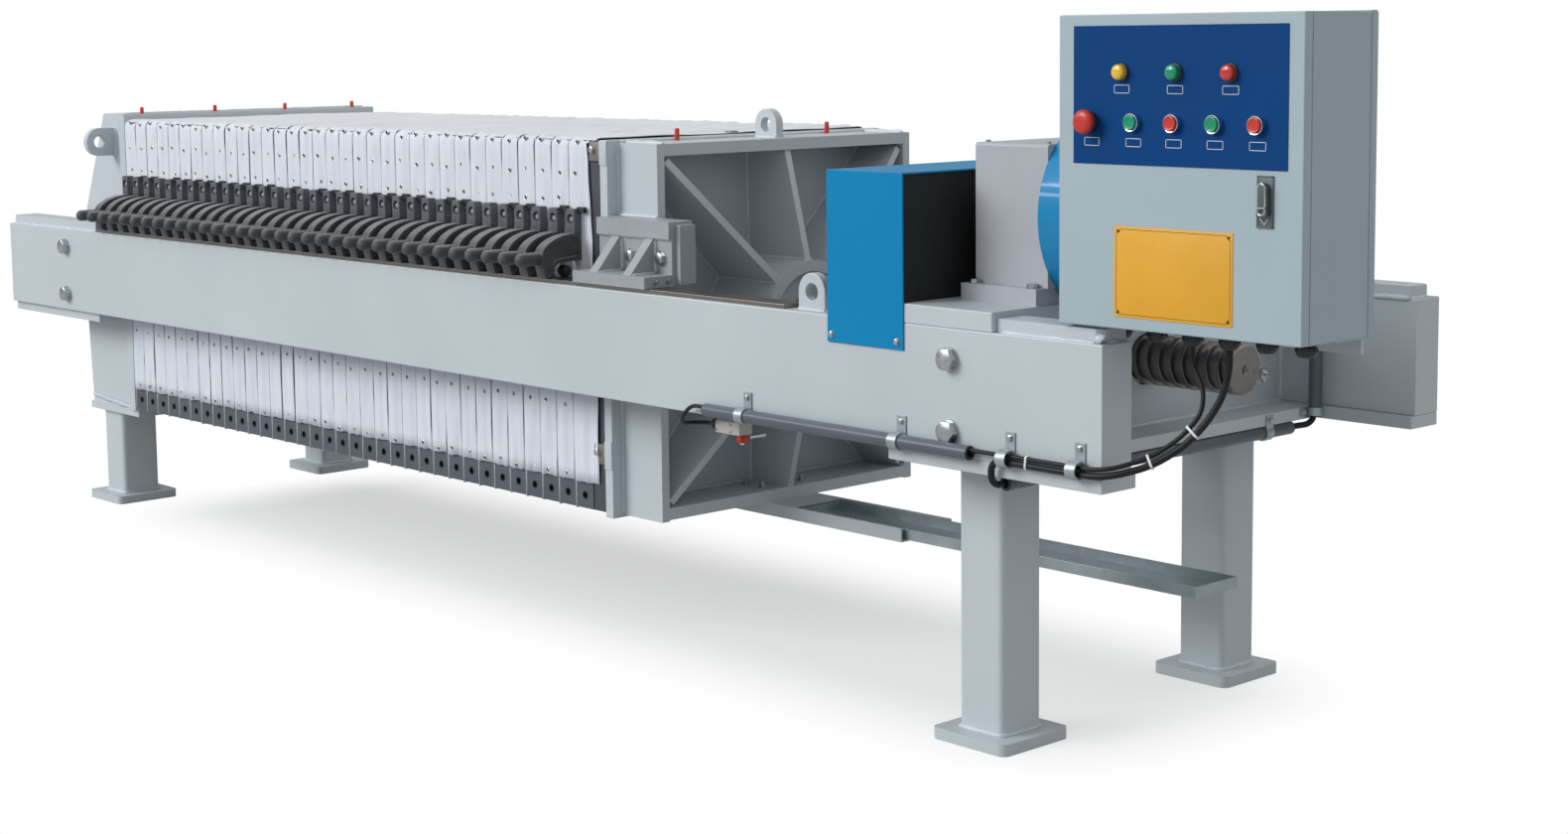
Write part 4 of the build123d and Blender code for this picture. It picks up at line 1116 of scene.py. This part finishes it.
class FILTERPRESS_OT_pack_fittings(PressOperator, bpy.types.Operator):
    """Add the clips on the tail plate, the red plugs and the outlets' liners"""

    bl_idname = "filterpress.pack_fittings"
    bl_label = "Pack fittings"

    def build(self, context):
        low, high = span("tail_plate")
        left = span("press_plate")[0].x
        form, blocks = Form(), Form()
        for side in SIDES:
            for foot, top in ((1028, 1068), (384, 428)):
                y = sorted((side * HALF, side * 399.6))
                form.block((low.x + 9, high.x - 1), y, (foot, top), 1.2)
                bolt(form, (low.x + 22, side * 399.6, (foot + top) / 2 + 4), (0, side, 0), 14, mark=1)
                y = sorted((side * 399.5, side * 402.5))
                blocks.block((left + 1, left + 25), y, (foot - 8, min(top + 8, 1071)), 2)
        form.block((low.x + 4, low.x + 26), (-14, 6), (1071.2, 1077.8), 1.5)
        form.piece("tail_clips", "frame", "zinc", "Yellow zinc", "Zinc")
        blocks.piece("press_plate_blocks", "press_head", "frame_paint", "Frame paint")
        self.plugs("thrust_head_plugs", "frame", 4)
        self.plugs("press_head_plugs", "press_head", 2)
        z = span("filter_plates")[0].z + 28
        sleeve = [(8.9, 5.2), (8.6, 5.8), (7.4, 5.8), (6.9, 5.0), (6.7, 0), (6.6, -18), (0, -18)]
        form = Form()
        for i in range(PLATES):
            for side in SIDES:
                form.turn(sleeve, 18, (PACK_LEFT + i * PITCH + 31.05, side * (HALF - 5), z), (0, side, 0))
        form.piece("outlet_liners", "frame", "black_plastic", "Dark plastic")

    def plugs(self, node, body, count):
        low, high = span(node)
        tall = high.z - low.z
        profile = [
            (0, 0), (5.9, 0), (5.9, 1.6), (5.2, 2.0), (5.2, tall - 2), (4.6, tall - 0.6), (3.4, tall),
            (0, tall),
        ]
        form = Form()
        for k in range(count):
            y = low.y + 6 + (high.y - low.y - 12) * k / (count - 1)
            form.add(turned(profile, 20), Matrix.Translation((((low + high) / 2).x, y, low.z)))
        form.piece(f"{node}_turned", body, "red_plastic", "Red", replaces=node)


class FILTERPRESS_OT_bolts(PressOperator, bpy.types.Operator):
    """Set the bolts, nuts and screws of the beams, the shoes, the cover and the gearbox"""

    bl_idname = "filterpress.bolts"
    bl_label = "Bolts and screws"

    def build(self, context):
        s = sizes()
        form = Form()
        low, high = span("near_beam")
        left, right = low.x + 347, high.x - 342
        spots = ((left, 728), (left, 597), (right, 722), (right, 595))
        for side in SIDES:
            for k, (x, z) in enumerate(spots):
                bolt(form, (x, -side * low.y, z), (0, side, 0), s.frame_bolt / MM, spin=0.35 + k * 0.9)
        cover = span("motor_cover")
        for side in SIDES:
            for x in (cover[0].x + 12, cover[1].x - 15):
                bolt(form, (x, side * cover[1].y, cover[0].z + 15), (0, side, 0), 10, 1.4)
        gear = span("gearbox")
        for x in (gear[0].x + 24, gear[1].x - 26):
            for y in (gear[0].y + 11, gear[1].y - 11):
                bolt(form, (x, y, gear[0].z + 30), UP, s.gear_bolt / MM, spin=x * 0.1)
        for x in (gear[0].x + 30, gear[1].x - 14):
            for y in (gear[0].y + 40, gear[1].y - 40):
                bolt(form, (x, y, gear[1].z - 0.3), UP, 9, 1.3)
        form.piece("frame_bolts", "frame", "zinc", "Zinc")

        form = Form()
        head, shoe = span("press_head_frame")[0].x, span("near_shoe")[1].x
        for side in SIDES:
            for x in (head + 108, head + 204):
                bolt(form, (x, side * 425, 840), (0, side, 0), s.shoe_bolt / MM, 1.35, spin=x * 0.3)
            for y in (436, 470):
                bolt(form, (shoe - 14, side * y, 797), RIGHT, 9, stud=3)
            for x in (head + 38, head + 92):
                bolt(form, (x, side * 58, 305), UP, 15, 1.3, stud=9)
        form.piece("press_head_bolts", "press_head", "zinc", "Zinc")

        form = Form()
        screw, cross = s.ear_screw / MM, LEFT_LEGS + 3490
        for x in (2840, 3251, 3510, 3665):
            bolt(form, (LEFT_LEGS + x, low.y - 3, 600), FRONT, screw, 1.5, spin=x)
        for y, z in ((262, 540), (374, 543)):
            bolt(form, (cross + 3, y, z), RIGHT, screw, 1.5)
        bolt(form, (cross, 235, 631), RIGHT, 24, 1.3, stud=8)
        form.piece("clip_screws", "frame", "zinc", "Zinc")


class FILTERPRESS_OT_screw(PressOperator, bpy.types.Operator):
    """Cut the square thread on the press screw"""

    bl_idname = "filterpress.screw"
    bl_label = "Press screw"

    def build(self, context):
        low, high = span("press_screw")
        s = sizes()
        radius = (high.z - low.z) / 2
        root = radius - s.thread_depth / MM
        start, end = high.x - 780, high.x - 13
        form = Form().add(self.thread(start, end, s.thread_pitch / MM, root, radius))
        plain = start - low.x
        shank = [(0, 0), (radius, 0), (radius, plain - 6), (root, plain), (root, plain + 30)]
        form.turn(shank, 48, (low.x, 0, MIDDLE), RIGHT)
        tail = end - 12
        tip = high.x - tail
        nose = [
            (root, 0), (root, 11.5), (radius - 1.5, 12), (radius - 0.5, 13), (radius - 0.5, tip - 3),
            (radius - 4, tip), (9, tip), (7, tip - 2), (3, tip - 9), (0, tip - 9),
        ]
        form.turn(nose, 48, (tail, 0, MIDDLE), RIGHT)
        plug = [(4.5, 0), (4.5, 0.4), (3.4, 0.4), (3.2, -1.5), (0, -1.5)]
        form.turn(plug, 16, (high.x - 0.2, 27, MIDDLE - 6), RIGHT, 1)
        form.piece(
            "threaded_screw", "press_head", "screw_steel", "Screw steel", "Dark plastic", angle=30,
            replaces="press_screw"
        )

    def thread(self, start, end, pitch, root, radius):
        """The thread's flanks as one skin, which shrinks to the root beyond its ends."""
        sides = 40
        crest = radius - 0.5
        profile = ((0.0, root), (0.06, crest), (0.09, radius), (0.45, radius), (0.48, crest), (0.54, root))
        turns = int((end - start) / pitch) + 2
        bm = bmesh.new()
        made = []
        for n in range(-1, turns):
            for share, r in profile:
                for k in range(sides + 1):
                    x = start + pitch * (n + share + k / sides)
                    reach = r if start < x < end else root
                    a = 2 * pi * k / sides
                    spot = (min(max(x, start), end), reach * cos(a), MIDDLE + reach * sin(a))
                    made.append(bm.verts.new(spot))
        for face in skin((turns + 1) * len(profile), sides, False):
            bm.faces.new([made[i] for i in face])
        bmesh.ops.remove_doubles(bm, verts=bm.verts, dist=0.01)
        bmesh.ops.dissolve_degenerate(bm, dist=0.01, edges=bm.edges)
        bmesh.ops.recalc_face_normals(bm, faces=bm.faces)
        return from_bmesh(bm)


class FILTERPRESS_OT_drive(PressOperator, bpy.types.Operator):
    """Line the motor cover and close its end with painted shade, and build the finned motor"""

    bl_idname = "filterpress.drive"
    bl_label = "Drive"

    def build(self, context):
        low, high = span("motor_cover")
        # Painted shade: the near-black lining of the cover's walls and roof and the sheet over its end stand
        # for the deep shade inside it
        lining = Form()
        sheet, thick = 3.2, 2
        inner, top, x = high.y - sheet, high.z - sheet, (low.x + 1, high.x - 1)
        for side in SIDES:
            lining.block(x, sorted((side * inner, side * (inner - thick))), (812.5, top), 0)
        lining.block(x, (-inner, inner), (top - thick, top), 0)
        lining.add(self.end_sheet((high.x - 4, high.x - 2.2), inner, (811.5, top), 95))
        lining.piece("cover_lining", "frame", "black_plastic", "Cover lining")
        self.motor()

    def end_sheet(self, x, half, z, radius):
        """A near-black sheet of painted shade over the cover's right end, with a round hole for the motor."""
        corners = [atan2(h - MOTOR_Z, y - MOTOR_Y) % (2 * pi) for y in (-half, half) for h in z]
        turns = sorted([2 * pi * k / 48 for k in range(48)] + corners)
        rings = [[], []]
        for turn in turns:
            a, b = cos(turn), sin(turn)
            wide = ((half if a > 0 else -half) - MOTOR_Y) / a if abs(a) > 1e-9 else 1e9
            tall = (z[b > 0] - MOTOR_Z) / b if abs(b) > 1e-9 else 1e9
            for ring, far in zip(rings, (radius, min(wide, tall))):
                ring.append((MOTOR_Y + a * far, MOTOR_Z + b * far))
        count = len(turns)
        points = [(at, *p) for at in x for ring in rings for p in ring]
        faces = []
        for k in range(count):
            j = (k + 1) % count
            for a, b in ((0, 1), (1, 3), (3, 2), (2, 0)):
                faces.append((a * count + k, a * count + j, b * count + j, b * count + k))
        return points, faces

    def motor(self):
        low, high = span("drive_motor")
        radius, long = 88, high.x - low.x
        rim, skirt, flange = radius - 12, radius - 2, radius + 6
        form = Form()
        for profile in (
            [(0, 2), (20, 2), (22, 0), (radius - 14, 0), (radius - 3, 5), (skirt, 10), (skirt, 52),
             (radius - 6, 54), (rim, 54)],
            [(rim, 50), (rim, long - 22), (radius - 4, long - 18), (skirt, long - 14.2)],
            [(radius - 4, long - 15), (radius + 5, long - 14), (flange, long - 13), (flange, long),
             (0, long)],
        ):
            form.turn(profile, 40, (low.x, MOTOR_Y, MOTOR_Z), RIGHT)
        fin = slab((low.x + 56, radius - 13, -1.2), (high.x - 24, radius - 1, 1.2), 0.5, 1)
        for k in range(36):
            a = 2 * pi * k / 36
            if cos(a) <= 0.94:
                form.add(fin, Matrix.Translation((0, MOTOR_Y, MOTOR_Z)) @ Matrix.Rotation(a, 4, "X"))
        y, x = MOTOR_Y + radius, high.x - 14 - 70
        form.block((x - 30, x + 30), (y - 16, y + 33), (MOTOR_Z - 25, MOTOR_Z + 25), 3, 1)
        form.block((x - 31, x + 31), (y + 30, y + 38), (MOTOR_Z - 26, MOTOR_Z + 26), 2.5, 1)
        for aside in (-25, 25):
            for up in (-20, 20):
                cap_screw(form, (x + aside, y + 37.8, MOTOR_Z + up), BACK, 3, 2)
        for y, z in arc(45, 315, 90, radius - 5, (MOTOR_Y, MOTOR_Z)):
            bolt(form, (high.x - 15, y, z), LEFT, 10, mark=2)
        # The motor's near-black finish is partly painted shade
        form.piece(
            "finned_motor", "frame", "frame_paint", "Motor paint", "Dark plastic", "Zinc",
            replaces="drive_motor"
        )


BUTTONS = ("press_start_button", "press_stop_button", "return_start_button", "return_stop_button")


class FILTERPRESS_OT_controls(PressOperator, bpy.types.Operator):
    """Build the lamps, the push buttons, the mushroom stop and the blank labels"""

    bl_idname = "filterpress.controls"
    bl_label = "Panel controls"

    def build(self, context):
        low, high = span("operator_panel")
        centre, face, upper, lower = (low.x + high.x) / 2, low.y, high.z - 74, high.z - 154
        lamp_pitch, button_pitch = 107, 80.4
        lamps = [(centre - 3 + i * lamp_pitch, face, upper) for i in (-1, 0, 1)]
        buttons = [(centre + 35 + (i - 1.5) * button_pitch, face, lower) for i in range(4)]
        stop = (centre - 173.5, face, lower)
        form = Form()
        lens = [(12.3, 0.5), (12.3, 10.5), (11.9, 12.4), (10.8, 13.8), (8.8, 14.8), (5.5, 15.6), (0, 16)]
        for mark, spot in enumerate(lamps, 1):
            form.turn([(0, 0), (15, 0), (15, 2.6), (14, 3.6), (12.6, 3.8), (12.4, 0.5)], 32, spot, FRONT)
            form.turn(lens, 32, spot, FRONT, mark)
            for k in range(24):
                ridge = facing(spot, FRONT) @ Matrix.Rotation(2 * pi * k / 24, 4, "Z")
                form.add(slab((12.0, -0.5, 4.2), (12.8, 0.5, 9.8), 0.2, 1), ridge, mark)
        form.piece(
            "panel_lamps", "cabinet_door", "amber_lens", "Dark plastic", "Amber lens", "Green lens",
            "Red lens", replaces="indicator_lamps"
        )

        form = Form()
        ring = [
            (15.5, 0), (15.5, 1.5), (15.2, 7.0), (14.7, 9.4), (13.9, 10), (12.9, 9.8), (12.5, 8.8), (12.5, 0),
        ]
        for spot in buttons:
            form.turn(ring, 36, spot, FRONT)
        ring = [(16.5, 0), (16.5, 1), (16.2, 6), (14.6, 9.7), (13.2, 10), (12.5, 9.4), (12.5, 0)]
        form.turn(ring, 36, stop, FRONT, 1)
        form.piece(
            "button_rings", "cabinet_door", "chrome_ring", "Chrome", "Dark plastic", replaces="button_bezels"
        )

        cap = [(0, 4.3), (12, 4.3), (12, 12.0), (11.6, 12.7), (10.8, 13), (9.8, 12.6), (6, 12.2), (0, 12.1)]
        for spot, name in zip(buttons, BUTTONS):
            slot, finish = ("green_plastic", "Green") if "start" in name else ("red_plastic", "Red")
            Form().turn(cap, 36, spot, FRONT).piece(f"{name}_cap", name, slot, finish, replaces=name)

        cap = [
            (0, 4.3), (12, 4.3), (12, 22), (17.4, 22), (17.6, 15.4), (18.6, 14.4), (19.6, 15.2), (20, 17.5),
            (19.9, 20.0), (19.2, 22.6), (17.4, 25.0), (14.2, 26.6), (9.5, 27.5), (0, 27.8),
        ]
        Form().turn(cap, 40, stop, FRONT).piece(
            "stop_mushroom", "emergency_stop", "red_plastic", "Red", angle=50, replaces="emergency_stop"
        )

        form = Form()
        wide, tall = 15.5, 6.8
        for x, _, z in [*lamps, *buttons, (stop[0] + 2, face, lower)]:
            middle = z - (27 if z == upper else 32)
            form.border((x - wide, x + wide), (face - 0.35, face + 0.1), (middle - tall, middle + tall), 0.9)
        form.piece("blank_labels", "cabinet_door", "chrome_ring", "Label white")


class FILTERPRESS_OT_cabinet(PressOperator, bpy.types.Operator):
    """Fit the cabinet's back rim, seal, plate, latch and the gear inside"""

    bl_idname = "filterpress.cabinet"
    bl_label = "Cabinet fittings"

    def build(self, context):
        low, high = span("cabinet_door")
        self.yellow_plate(low)
        self.latch()
        self.lever()
        form = Form()
        body_low, body_high = span("cabinet_body")
        y = (body_high.y - 16, body_high.y)
        for x in ((body_high.x - 0.2, body_high.x + 1.4), (body_low.x - 1.4, body_low.x + 0.2)):
            form.block(x, y, (body_low.z + 1, body_high.z - 1), 0.6)
        form.block((body_low.x, body_high.x), y, (body_high.z - 0.2, body_high.z + 1.4), 0.6)
        form.piece("cabinet_back_rim", "frame", "cabinet_paint", "Cabinet paint")
        seal, inset = Form(), 9
        x, z = (low.x + inset, high.x - inset), (low.z + inset, high.z - inset)
        seal.border(x, (high.y - 4, high.y + 0.3), z, 7, 1.5)
        seal.piece("door_seal", "cabinet_door", "black_plastic", "Dark plastic")
        self.inside(body_low, body_high)

    def yellow_plate(self, low):
        """The bare plate, with a printed border whose corners curve in round four rivets."""
        face, inset, notch = low.y, 4.2, 8.0
        x0, x1, z0, z1 = low.x + 118, low.x + 353, low.z + 20, low.z + 167
        form = Form()
        form.block((x0, x1), (face - 1.1, face + 0.2), (z0, z1), 0.4)
        x, z = (x0 + inset, x1 - inset), (z0 + inset, z1 - inset)
        form.border(x, (face - 1.25, face - 0.9), z, 0.8, notch=notch, mark=1)
        rivet = [(0, 0), (2.6, 0), (2.4, 0.8), (1.4, 1.4), (0, 1.6)]
        for k, (i, j) in enumerate(((0, 0), (1, 0), (1, 1), (0, 1))):
            curve = arc(90 * k, 90 * k + 90, 15, notch - 0.4, (x[i], z[j]))
            form.add(tube([(a, face - 1.1, b) for a, b in curve], 0.42, 6), mark=1)
            form.turn(rivet, 16, (x[i] + 3.4 * (1 - 2 * i), face - 1.1, z[j] + 3.4 * (1 - 2 * j)), FRONT, 1)
        form.piece("bare_plate", "cabinet_door", "amber_lens", "Plate yellow", "Border")

    def latch(self):
        low, high = span("latch_plate")
        face, middle = low.y, ((low + high) / 2).x
        form = Form()
        form.block((low.x, high.x), (face + 0.6, face + 3), (low.z, high.z), 0.5)
        form.border((low.x, high.x), (face, face + 1), (low.z, high.z), 2.4, 0.35)
        arrow = [(middle + a, face + 0.3, low.z + b) for a, b in ((-7.5, 14.5), (0, 5.5), (7.5, 14.5))]
        form.add(tube(arrow, 1.4, 8), mark=1)
        form.piece(
            "latch_bezel", "cabinet_door", "chrome_ring", "Latch grey", "Chrome", replaces="latch_plate"
        )

    def lever(self):
        """The latch's lever, with a raised line round its flat and round its lock."""
        low, high = span("latch_lever")
        middle, half = (low + high) / 2, (high.x - low.x) / 2
        centre = (0, high.z - half)
        outline = [(half, low.z), *arc(0, 180, 15, half, centre), (-half, low.z)]
        bm = bmesh.new()
        extruded(bm, [(x, z - middle.z, 0) for x, z in outline], (0, 0, high.y - low.y))
        place = Matrix.Translation((middle.x, high.y, middle.z)) @ Matrix.Rotation(pi / 2, 4, "X")
        form = Form().add(rounded(bm, 1.4), place)
        rise, thin = low.z + 13, half - 1.6
        arch = [(thin, rise + 2), *arc(0, 180, 15, thin, centre), (-thin, rise + 2)]
        below = arc(180, 360, 15, thin, (0, rise - 3), thin + 0.5)
        for line in (arch, [(-thin, rise), *below, (thin, rise), (-thin, rise)]):
            form.add(tube([(middle.x + a, low.y + 0.2, b) for a, b in line], 1.0, 8), mark=1)
        form.turn([(0, 0), (3.0, 0), (2.8, 0.6), (0, 0.7)], 18, (middle.x, low.y, rise - 4), FRONT, 2)
        form.piece(
            "latch_handle", "latch_lever", "chrome_ring", "Latch grey", "Chrome", "Dark plastic",
            replaces="latch_lever"
        )

    def inside(self, low, high):
        """The mounting plate and its rows of gear, seen when the door is open."""
        form = Form()
        back = high.y - 14
        form.block((low.x + 24, high.x - 24), (back, back + 2), (low.z + 26, high.z - 26), 0.5)
        rng = Random(12)
        end = high.x - 96
        for z in (high.z - 150, low.z + 230):
            form.block((low.x + 40, high.x - 40), (back - 7, back), (z - 17, z + 17), 1, 1)
            x = low.x + 56
            while x < end:
                wide = rng.choice((18, 36, 45))
                tall = rng.choice((34, 40))
                form.block((x, x + wide - 1), (back - 62, back - 6), (z - tall, z + tall), 1.6, 2)
                form.block((x + 3, x + wide - 4), (back - 67, back - 60), (z - 10, z + 8), 1.2, 3)
                x += wide + 1
        for z in (high.z - 62, (low.z + high.z) / 2, low.z + 110):
            form.block((low.x + 38, high.x - 38), (back - 40, back), (z - 14, z + 14), 1.2, 4)
        z = low.z + 62
        pitch = 14
        for k in range(24):
            x = low.x + 70 + k * pitch
            form.block((x, x + 12.6), (back - 42, back - 2), (z - 22, z + 22), 1.0, 3 if k % 6 else 4)
        form.piece(
            "cabinet_inside", "frame", "zinc", "Galvanised", "Zinc", "Switch body", "Dark plastic", "Conduit"
        )


class FILTERPRESS_OT_glands(PressOperator, bpy.types.Operator):
    """Build the cable glands, the cable ties and the sleeves at the conduit's ends"""

    bl_idname = "filterpress.glands"
    bl_label = "Glands and ties"

    def build(self, context):
        low, high = span("cabinet_body")
        form = Form()
        count, inset = 6, 57
        step = (high.x - low.x - 2 * inset) / (count - 1)
        for i in range(count):
            place = facing((low.x + inset + i * step, -405, low.z), DOWN, 0.3 * i)
            self.gland(form, place, 18, 30, open_end=i in (2, 3))
        self.gland(form, facing((span("limit_switch")[0].x, -438, 523), LEFT, 0.4), 12.5, 24, True)
        self.gland(form, facing((span("drive_motor")[1].x - 84, -96, 915), DOWN), 9, 22, True)
        form.piece("gland_set", "frame", "black_plastic", "Dark plastic", angle=40, replaces="cable_glands")
        self.ties()
        self.sleeves()

    def gland(self, form, place, radius, long, open_end):
        """A gland that hangs from Z = 0 along +Z: lock nut, dome nut with ridges, and its mouth."""
        nut, neck = long * 0.34, long * 0.40
        form.add(hexagon(radius * 1.94, nut), place)
        form.add(turned([(0, nut), (radius * 0.78, nut), (radius * 0.78, neck), (0, neck)], 24), place)
        if open_end:
            mouth = ((0.62, 1), (0.52, 1), (0.50, 0.9), (0, 0.9))
        else:
            mouth = ((0.66, 0.97), (0.3, 1), (0, 1))
        dome = [(radius * r, long * z) for r, z in ((0.93, 0.70), (0.84, 0.86), *mouth)]
        form.add(turned([(0, neck), (radius * 0.80, neck), (radius * 0.93, neck + 1.2), *dome], 28), place)
        for k in range(14):
            ridge = place @ Matrix.Rotation(2 * pi * k / 14, 4, "Z")
            form.add(slab((radius * 0.88, -0.9, neck + 1.5), (radius * 1.0, 0.9, long * 0.68), 0.4, 1), ridge)

    def ties(self):
        """White ties round both cables. Each goes round the two cables' centres, across their run."""
        wide = sizes().cable_tie / MM
        thick, motor_cable, switch_cable, turns = 1.3, 6.7, 4.7, 24
        form = Form()
        for first, second, along in (
            ((3847.3, -432.1, 635.5), (3838.5, -429.7, 650.3), (0.57, 0.34, 0.75)),
            ((3787.5, -470, 584), (3781.7, -466.3, 596), (0.74, 0.53, 0.42)),
            ((3560, -515, 560), (3560, -515, 571), (1, 0, 0)),
        ):
            a, b = (Vector(p) + Vector((LEFT_LEGS, 0, 0)) for p in (first, second))
            along = Vector(along).normalized()
            across = (b - a) - along * (b - a).dot(along)
            gap = across.length
            across = across.normalized()
            side = along.cross(across)
            loop = []
            for k in range(turns + 1):
                t = 2 * pi * k / turns
                centre, radius = (a, motor_cable) if cos(t) < 0 else (a + across * gap, switch_cable)
                loop.append(centre + across * cos(t) * radius + side * sin(t) * radius)
            points = []
            for p in loop:
                outward = (p - (a + across * gap / 2)).normalized()
                for u, v in ((-wide / 2, 0), (-wide / 2, thick), (wide / 2, thick), (wide / 2, 0)):
                    points.append(p + along * u + outward * v)
            form.add((points, skin(turns + 1, 4)))
            head = loop[20]
            form.add(slab((-2.6, -2.2, -2.2), (2.6, 2.2, 3.2), 0.6), facing(head, (head - a).normalized()))
            tail = Vector((0.2, -0.4, -1)).normalized()
            form.add(slab((-0.9, -0.6, 0), (0.9, 0.6, 15), 0.3), facing(head, tail))
        form.piece("cable_ties", "frame", "chrome_ring", "Tie white")

    def sleeves(self):
        """Short rubber sleeves where the cables go into the conduits."""
        sleeve = [
            (10.9, -8), (10.9, 0.2), (12.6, 0.6), (12.6, 1.6), (11.4, 2.2), (8.4, 2.2), (7.6, 1.0), (7.6, -8),
        ]
        form = Form()
        for x, y, z, out in (
            (2734, -515, 566, LEFT), (3428, -515, 566, RIGHT), (3480, -480, 514.7, FRONT),
            (3480, 342.7, 514.7, BACK), (3503.3, 394.7, 536, DOWN), (3503.3, 394.7, 786, UP),
        ):
            form.turn(sleeve, 24, (LEFT_LEGS + x, y, z), out)
        form.piece("conduit_sleeves", "frame", "black_plastic", "Dark plastic")


class FILTERPRESS_OT_limit_switch(PressOperator, bpy.types.Operator):
    """Build the limit switch, its red head and the thin rod"""

    bl_idname = "filterpress.limit_switch"
    bl_label = "Limit switch"

    def build(self, context):
        low, high = span("limit_switch")
        form = Form()
        top = 536
        form.block((low.x, high.x), (low.y, high.y), (low.z, top), 3)
        form.block((low.x + 2, high.x - 20), (low.y - 0.9, low.y + 1), (low.z + 2, top - 2))
        form.block((low.x + 16, low.x + 56), (low.y + 5, high.y - 5), (top, high.z), 1, 1)
        for x in (low.x + 7, high.x - 25):
            for z in (low.z + 6, top - 6):
                cap_screw(form, (x, low.y - 0.9, z), FRONT, 2.2, 2)
        form.piece(
            "switch_box", "frame", "stainless", "Switch body", "Frame paint", "Zinc", replaces="limit_switch"
        )
        self.arm()

    def arm(self):
        low, high = span("switch_lever")
        x, y = high.x - 11, low.y + 11
        tall, reach = high.z - low.z, high.y - y
        hub = [(0, 0), (6.5, 0), (7.6, 1.2), (8, 4), (8, tall - 4), (7.4, tall - 0.5), (0, tall)]
        form = Form().add(turned(hub, 28), Matrix.Translation((x, y, low.z)))
        for turn in (20, 110):
            place = Matrix.Translation((x, y, low.z + 2)) @ Matrix.Rotation(radians(turn), 4, "Z")
            form.add(slab((-11, -3.6, 0), (11, 3.6, tall - 5), 1.0), place)
        form.block((x - 6, x + 6), (y - 3, y + 16), (low.z + 3, high.z - 3), 1.4)
        bolt(form, (x, y, low.z + 0.2), DOWN, 7, mark=1)
        rod = [
            (0, 6), (2.2, 6), (2.2, reach - 16), (2.5, reach - 14), (2.5, reach - 1), (1.6, reach),
            (0, reach),
        ]
        form.turn(rod, 16, (x, y, (low.z + high.z) / 2), BACK, 1)
        form.piece(
            "switch_arm", "switch_lever", "red_plastic", "Red", "Chrome", angle=40, replaces="switch_lever"
        )


class FILTERPRESS_OT_feed(PressOperator, bpy.types.Operator):
    """Add the raised face and the grooves of the feed flange"""

    bl_idname = "filterpress.feed"
    bl_label = "Feed flange"

    def build(self, context):
        profile = [
            (60.5, 0), (60.5, 1.6), (59, 3.0), (56, 3.0), (53, 1.9), (50, 3.0), (47, 1.9), (44, 3.0),
            (41, 2.4), (41, 0),
        ]
        form = Form().turn(profile, 48, (span("feed_flange")[0].x + 0.2, 0, MIDDLE), LEFT)
        form.piece("feed_raised_face", "frame", "frame_paint", "Rail steel")


OPERATORS = (
    FILTERPRESS_OT_stage, FILTERPRESS_OT_structure, FILTERPRESS_OT_welds, FILTERPRESS_OT_cloths,
    FILTERPRESS_OT_handles, FILTERPRESS_OT_pack_fittings, FILTERPRESS_OT_bolts, FILTERPRESS_OT_screw,
    FILTERPRESS_OT_drive, FILTERPRESS_OT_controls, FILTERPRESS_OT_cabinet, FILTERPRESS_OT_glands,
    FILTERPRESS_OT_limit_switch, FILTERPRESS_OT_feed,
)


class FILTERPRESS_PT_sidebar(bpy.types.Panel):
    """Sizes, colours and pieces of the filter press"""

    bl_idname = "FILTERPRESS_PT_sidebar"
    bl_label = "Filter press"
    bl_space_type = "VIEW_3D"
    bl_region_type = "UI"
    bl_category = "Filter press"

    def draw(self, context):
        for name, kind in GROUPS.items():
            box = self.layout.box()
            for prop in kind.__annotations__:
                box.prop(getattr(context.scene, name), prop)
        column = self.layout.column(align=True)
        for operator in OPERATORS:
            column.operator(operator.bl_idname)


CLASSES = (*GROUPS.values(), *OPERATORS, FILTERPRESS_PT_sidebar)


def register():
    for kind in CLASSES:
        bpy.utils.register_class(kind)
    for name, kind in GROUPS.items():
        setattr(bpy.types.Scene, name, PointerProperty(type=kind))


def unregister():
    for name in GROUPS:
        delattr(bpy.types.Scene, name)
    for kind in reversed(CLASSES):
        bpy.utils.unregister_class(kind)


def main():
    register()
    for operator in OPERATORS:
        family, name = operator.bl_idname.split(".")
        if getattr(getattr(bpy.ops, family), name)() != {"FINISHED"}:
            raise RuntimeError(f"{operator.bl_label} didn't finish")


if __name__ == "__main__":
    main()
